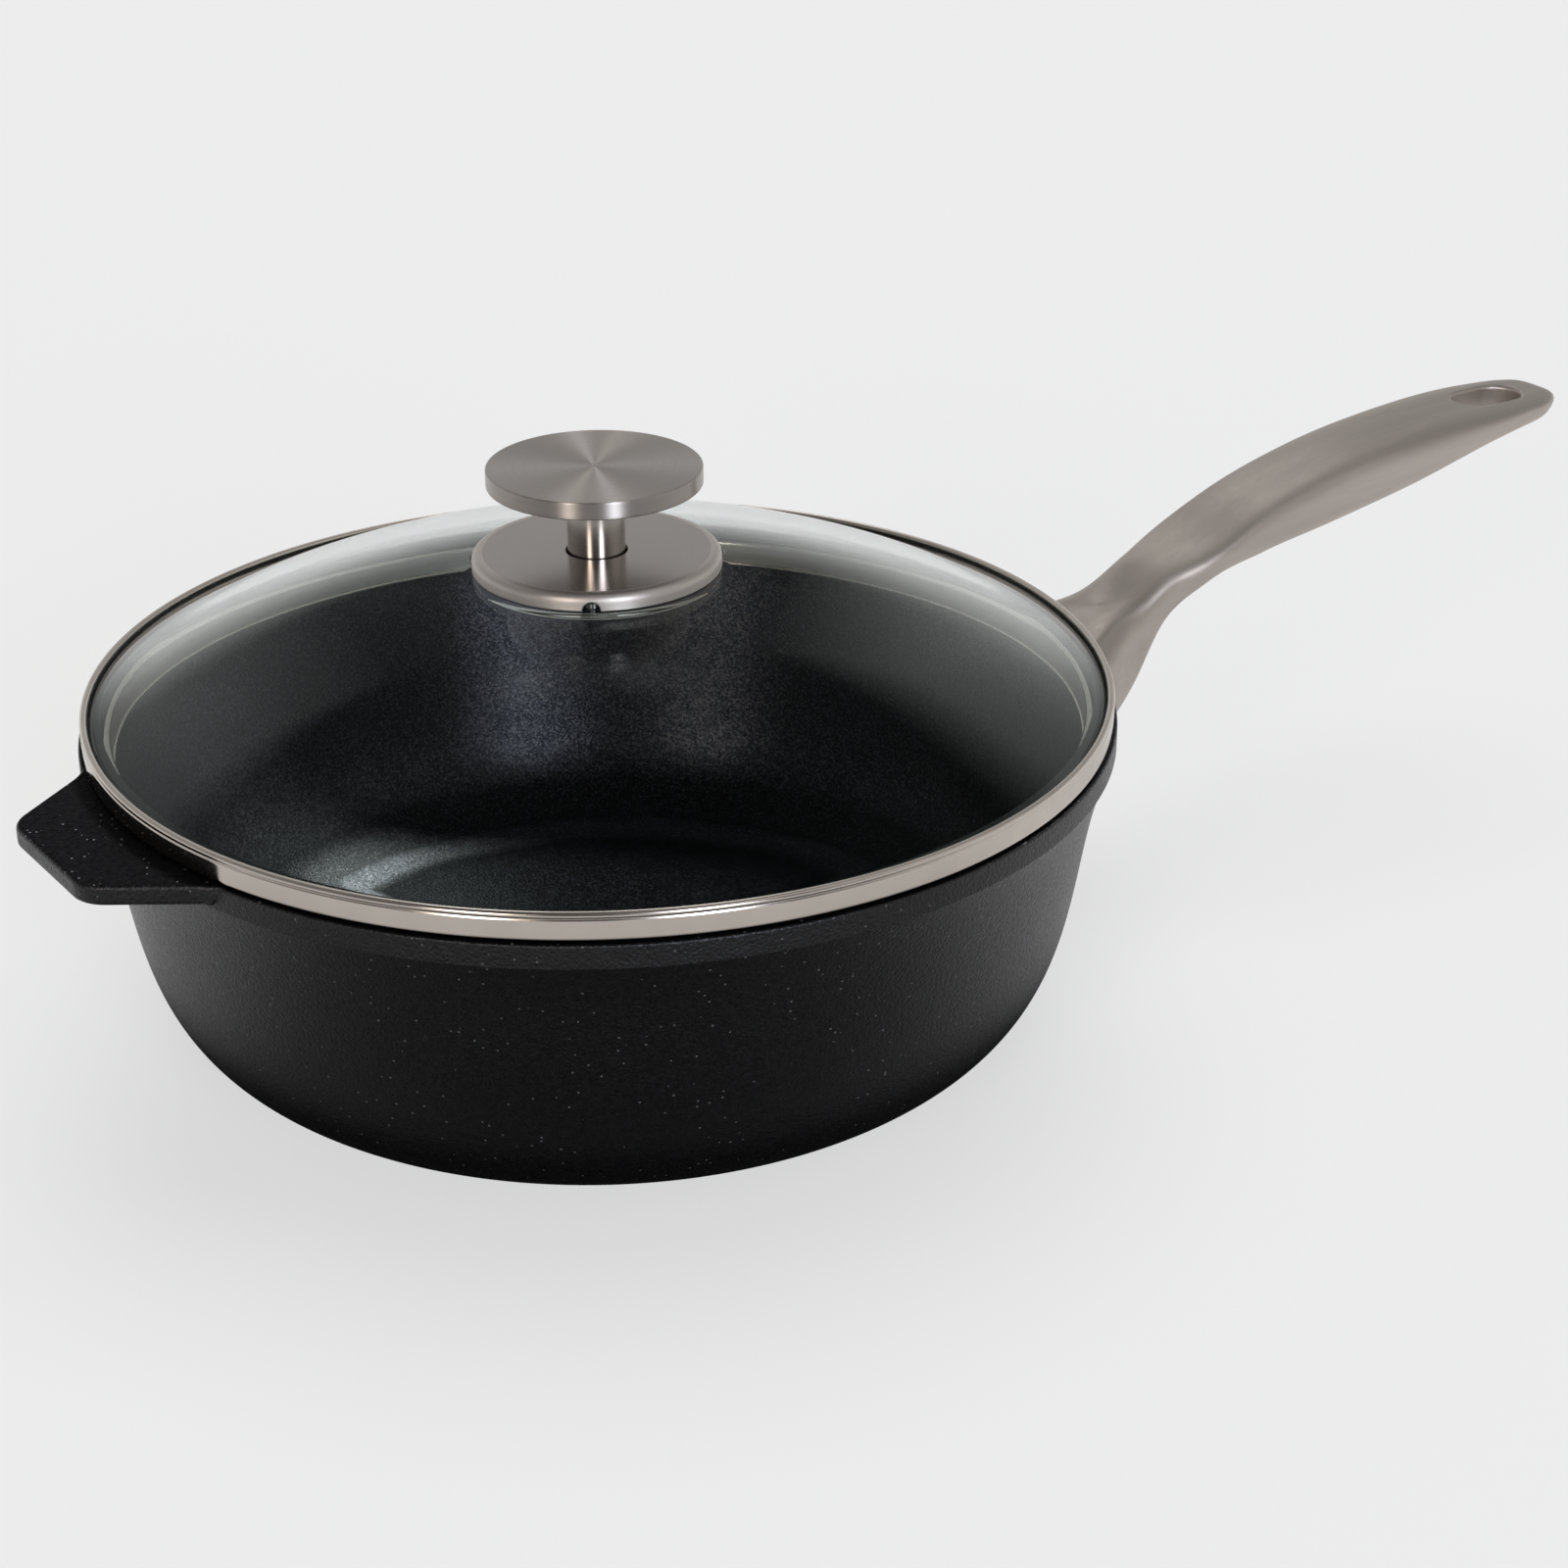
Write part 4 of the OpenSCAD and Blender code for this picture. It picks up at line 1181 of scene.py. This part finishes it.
class PAN_OT_handle_screws(bpy.types.Operator):
    """Make one socket screw and one washer, and repeat them under the handle's root"""

    bl_idname = "saute_pan.handle_screws"
    bl_label = "Handle Screws"

    head_h = 3.8
    shank_r = 3.0
    socket_r = 2.5
    socket_h = 1.9
    washer_t = 1.2

    def execute(self, context):
        handle = context.scene.handle_sizes
        head, shank = handle.screw_head_r, self.shank_r
        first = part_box("handle_screws")[0].x / MM + head
        low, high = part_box("handle_screws")[0].z / MM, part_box("handle_screws")[1].z / MM
        floor, neck = low + self.socket_h, low + self.head_h
        profile = [(0.0, floor, 0), (self.socket_r, floor, 0), (self.socket_r, low, 0.3)]
        profile += [(head, low, 0.6), (head, neck, 0.3), (shank, neck, 0)]
        profile = rounded(profile + [(shank, high, 0.4), (0.0, high, 0)], 3)
        screws = turned("handle_screws_pair", profile, finish("fastener"), 48, closed=False)
        self.hex_socket(screws, floor)
        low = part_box("handle_washers")[0].z / MM
        bore, top = shank + 0.2, low + self.washer_t
        corners = [(bore, low, 0.2), (head, low, 0.2), (head, top, 0.2), (bore, top, 0.2)]
        ring = rounded([*corners, (bore, low, 0)], 2)
        washers = turned("handle_washers_pair", ring, finish("fastener"), 48, closed=False)
        row = {"Count": 2, "Pitch": handle.screw_pitch * MM, "Finish": finish("fastener")}
        for obj, nodes in ((screws, ["handle_screws"]), (washers, ["handle_washers"])):
            for vertex in obj.data.vertices:
                vertex.co.x += first * MM
            through_tree(obj, row_tree(), row)
            place(obj, "pan", nodes, "fastener_steel")
        return {"FINISHED"}

    def hex_socket(self, obj, floor):
        """Press the round bore of the screw's head into a hexagon."""
        sixth = math.pi / 6
        for vertex in obj.data.vertices:
            reach = math.hypot(vertex.co.x, vertex.co.y) / MM
            if vertex.co.z / MM < floor + CLEARANCE and 0.5 < reach <= self.socket_r + 0.1:
                turn = math.atan2(vertex.co.y, vertex.co.x)
                share = math.cos(sixth) / math.cos((turn + sixth) % (2 * sixth) - sixth)
                vertex.co.x *= share
                vertex.co.y *= share


class PAN_OT_lid_ring(bpy.types.Operator):
    """Roll the steel ring with its skirt, seat, upright face and bead, and bed the glass in it"""

    bl_idname = "saute_pan.lid_ring"
    bl_label = "Lid Ring"

    def execute(self, context):
        lid = context.scene.lid_sizes
        obj = turned("rolled_lid_ring", self.section(lid), finish("ring"), 320)
        dress(obj, finish("ring"), finish("skirt"))
        # The skirt's upright faces take the paler steel, a painted highlight.
        for face in obj.data.polygons:
            reach = math.hypot(face.center.x, face.center.y) / MM
            face.material_index = int(reach < lid.skirt_r + 1.0 and abs(face.normal.z) < 0.25)
        place(obj, "lid", ["lid_ring"], "ring_steel")
        seal = turned("bonding_bed", self.seal_section(lid), finish("silicone"), 256)
        place(seal, "lid", ["bonding_seal"], "silicone")
        return {"FINISHED"}

    def section(self, lid):
        """The folded sheet, from the skirt's foot up the outside to the bead and back inside."""
        t, seat, out, skirt = lid.ring_t, lid.seat_z, lid.ring_r, lid.skirt_r
        low = seat + lid.corner_r
        top = low + lid.face_h
        foot = seat - lid.skirt_h
        crease = low + 0.55 * lid.face_h
        outside = [(skirt, foot + t, 0), (skirt, seat, 0.5), (out, seat, lid.corner_r)]
        outside = rounded([*outside, (out, crease, 0)], 6)[1:]
        face = [(out, top - 0.9), (out, top - 0.35), (out - 0.06, top - 0.12)]
        face += [(out - 0.2, top + 0.04)]
        roll = arc((out - lid.bead_r, top + 0.85 * lid.bead_r), lid.bead_r, -38.0, 232.0, 30)
        inside = [(out - t, top, 0), (out - t, seat + t, 0.6), (skirt - t, seat + t, 1.3)]
        inside = rounded([*inside, (skirt - t, foot + 2.2 * t, 0)], 6)
        hem = arc((skirt - t, foot + t), t, -270.0, 0.0, 20)
        return outside + face + roll + inside + hem

    def seal_section(self, lid):
        """The bed from the seat up to the glass's ground edge, proud in a line inside the bead."""
        low = lid.seat_z + lid.ring_t + CLEARANCE
        wall = lid.ring_r - lid.ring_t - CLEARANCE
        top = lid.seat_z + lid.corner_r + lid.face_h + 0.55
        inner = lid.edge_r - 2.0
        under = dome_point(lid, inner, -lid.glass_t - CLEARANCE)
        edge = [self.edge_point(lid, -75.0 + 105.0 * i / 6, CLEARANCE) for i in range(7)]
        bed = [(inner, low), (wall, low), (wall, top), (wall - 0.8, top + 0.1)]
        return bed + edge[::-1] + [under]

    def edge_point(self, lid, degrees, grow):
        """A point round the glass's ground edge, grown off it a little."""
        angle = math.radians(degrees) + math.atan(dome_slope(lid, lid.edge_r))
        r, z = dome_point(lid, lid.edge_r, -lid.glass_t / 2)
        reach = lid.glass_t / 2 + grow
        return (r + reach * math.cos(angle), z + reach * math.sin(angle))


class PAN_OT_lid_glass(bpy.types.Operator):
    """Turn the domed glass with its flat land and ground edge, and drill it"""

    bl_idname = "saute_pan.lid_glass"
    bl_label = "Lid Glass"

    bolt_hole_r = 6.0
    steam_hole_r = 2.5
    steam_hole_reach = 26.0

    def execute(self, context):
        lid, knob = context.scene.lid_sizes, context.scene.knob_sizes
        hole, land, steps = self.bolt_hole_r, lid.land_r, 60
        top = dome_z(lid, land)
        low = top - lid.glass_t
        reach = [land + (lid.edge_r - land) * i / steps for i in range(steps + 1)]
        tilt = math.degrees(math.atan(dome_slope(lid, lid.edge_r)))
        middle = dome_point(lid, lid.edge_r, -lid.glass_t / 2)
        profile = [(hole, z) for z in (low, low + 0.2, top - 0.2, top)]
        profile += [(r, top) for r in (hole + 6.0, land - 6.0, land - 1.2)]
        profile += [dome_point(lid, r, 0.0) for r in reach]
        profile += arc(middle, lid.glass_t / 2, tilt + 80.0, tilt - 80.0, 14)
        profile += [dome_point(lid, r, -lid.glass_t) for r in reversed(reach)]
        profile += [(land - 4.0, low), (land - 10.0, low)]
        obj = turned("domed_glass", profile, finish("glass"), 256)
        cut(obj, self.drill(knob, low - 1.0, top + 1.0))
        dress(tidy_mesh(obj), finish("glass"))
        place(obj, "lid", ["lid_glass"], "clear_glass")
        return {"FINISHED"}

    def drill(self, knob, low, high):
        """A round bar where the steam hole goes."""
        r, reach = self.steam_hole_r, self.steam_hole_reach
        x, y = reach * math.cos(knob.notch_angle), reach * math.sin(knob.notch_angle)
        rings = [[(x + r * c, y + r * s, z) for c, s in circle(40)] for z in (low, high)]
        return stacked("steam_drill", rings)


class PAN_OT_knob(bpy.types.Operator):
    """Turn the knob's disc and its post"""

    bl_idname = "saute_pan.knob"
    bl_label = "Knob"

    bore_r = 3.4
    flange_w = 4.0
    flange_z = (1.2, 2.3)

    def execute(self, context):
        knob = context.scene.knob_sizes
        low, top = knob.disc_z, knob.disc_z + knob.disc_t
        disc = [(0.0, low, 0), (knob.disc_r, low, 0.45), (knob.disc_r, top, 0.45), (0.0, top, 0)]
        disc = turned("knob_disc_turned", rounded(disc), finish("disc"), 256, closed=False)
        place(disc, "lid", ["knob_disc"], "knob_steel")
        low, high = (corner.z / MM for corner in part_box("knob_post"))
        bore, side, flange = self.bore_r, knob.post_r, knob.post_r + self.flange_w
        under, over = (low + z for z in self.flange_z)
        post = [(bore, low, 0), (side, low, 0.2), (side, under, 0), (flange, under, 0.2)]
        post += [(flange, over, 0.2), (side, over, 0.2), (side, high, 0.3), (bore, high, 0)]
        post = rounded([*post, (bore, low, 0)], 4)
        post = turned("knob_post_turned", post, finish("post"), 128, closed=False)
        place(post, "lid", ["knob_post"], "knob_steel")
        return {"FINISHED"}


class PAN_OT_vent_cover(bpy.types.Operator):
    """Press the vent cover with its rolled edge and half-round steam notch"""

    bl_idname = "saute_pan.vent_cover"
    bl_label = "Vent Cover"

    lip_r = 0.6

    def execute(self, context):
        knob = context.scene.knob_sizes
        low, top, t, out = knob.cover_z, knob.cover_z + knob.cover_h, knob.cover_t, knob.cover_r
        bore, roll = knob.post_r + knob.post_gap, knob.cover_edge_r
        profile = [(bore, top - t, 0), (bore, top, 0.3), (out, top, roll), (out, low, 0.25)]
        profile += [(out - t, low, 0.25), (out - t, top - t, roll - t), (bore, top - t, 0)]
        profile = rounded(profile, 8)
        obj = turned("vent_cover_pressed", profile, finish("cover"), 256, closed=False)
        cut(obj, self.notch(knob, low))
        dress(tidy_mesh(obj, 30.0), finish("cover"), finish("cover edge"))
        # The rolled edge takes the paler steel, a painted highlight.
        for face in obj.data.polygons:
            reach = math.hypot(face.center.x, face.center.y) / MM
            face.material_index = int(reach > out - roll)
        place(obj, "vent", ["vent_cover"], "knob_steel")
        return {"FINISHED"}

    def notch(self, knob, low):
        """A bar flared at the cover's outside, so that the notch has a soft lip."""
        way = Vector((math.cos(knob.notch_angle), math.sin(knob.notch_angle)))
        side = Vector((-way.y, way.x))
        lip = self.lip_r
        turns = [math.radians(15 * i) for i in range(1, 7)]
        rows = [(-4.0, 0.0), (-lip, 0.0)]
        rows += [(lip * math.sin(a) - lip, lip * (1 - math.cos(a))) for a in turns]
        rings = []
        for out, grow in rows + [(3.0, lip)]:
            spot, reach = way * (knob.cover_r + out), knob.notch_r + grow
            ring = [(*(spot + side * (reach * c)), low + reach * s) for c, s in circle(48)]
            rings.append(ring)
        return stacked("notch_cutter", rings)


class PAN_OT_small_parts(bpy.types.Operator):
    """Give the small parts that keep their CAD shape their metal and silicone finishes"""

    bl_idname = "saute_pan.small_parts"
    bl_label = "Small Parts"

    def execute(self, context):
        kept = {
            "fastener": ("knob_bolt", "clamp_washer", "friction_washer"),
            "silicone": ("soft_washer", "knob_bush", "vent_slider"),
        }
        for name, nodes in kept.items():
            for node in nodes:
                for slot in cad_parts[node].material_slots:
                    slot.material = finish(name)
        return {"FINISHED"}


class PAN_PT_pieces(bpy.types.Panel):
    bl_label = "Saute Pan"
    bl_idname = "PAN_PT_pieces"
    bl_space_type = "VIEW_3D"
    bl_region_type = "UI"
    bl_category = "Saute Pan"

    def draw(self, context):
        for cls in OPERATORS:
            self.layout.operator(cls.bl_idname)
        for owner in GROUPS:
            box = self.layout.box()
            box.label(text=owner)
            group = getattr(context.scene, owner)
            for name in group.__annotations__:
                box.prop(group, name)


OPERATORS = [
    PAN_OT_stage,
    PAN_OT_body,
    PAN_OT_base_plate,
    PAN_OT_handle,
    PAN_OT_handle_screws,
    PAN_OT_lid_ring,
    PAN_OT_lid_glass,
    PAN_OT_knob,
    PAN_OT_vent_cover,
    PAN_OT_small_parts,
]
GROUPS = {
    "pan_sizes": PanSizes,
    "handle_sizes": HandleSizes,
    "lid_sizes": LidSizes,
    "knob_sizes": KnobSizes,
    "pan_finishes": Finishes,
}


def register():
    for cls in [*GROUPS.values(), *OPERATORS, PAN_PT_pieces]:
        bpy.utils.register_class(cls)
    for name, group in GROUPS.items():
        setattr(bpy.types.Scene, name, bpy.props.PointerProperty(type=group))


def unregister():
    for name in GROUPS:
        delattr(bpy.types.Scene, name)
    for cls in reversed([*GROUPS.values(), *OPERATORS, PAN_PT_pieces]):
        bpy.utils.unregister_class(cls)


def main():
    register()
    for cls in OPERATORS:
        group, name = cls.bl_idname.split(".")
        getattr(getattr(bpy.ops, group), name)()


if __name__ == "__main__":
    main()
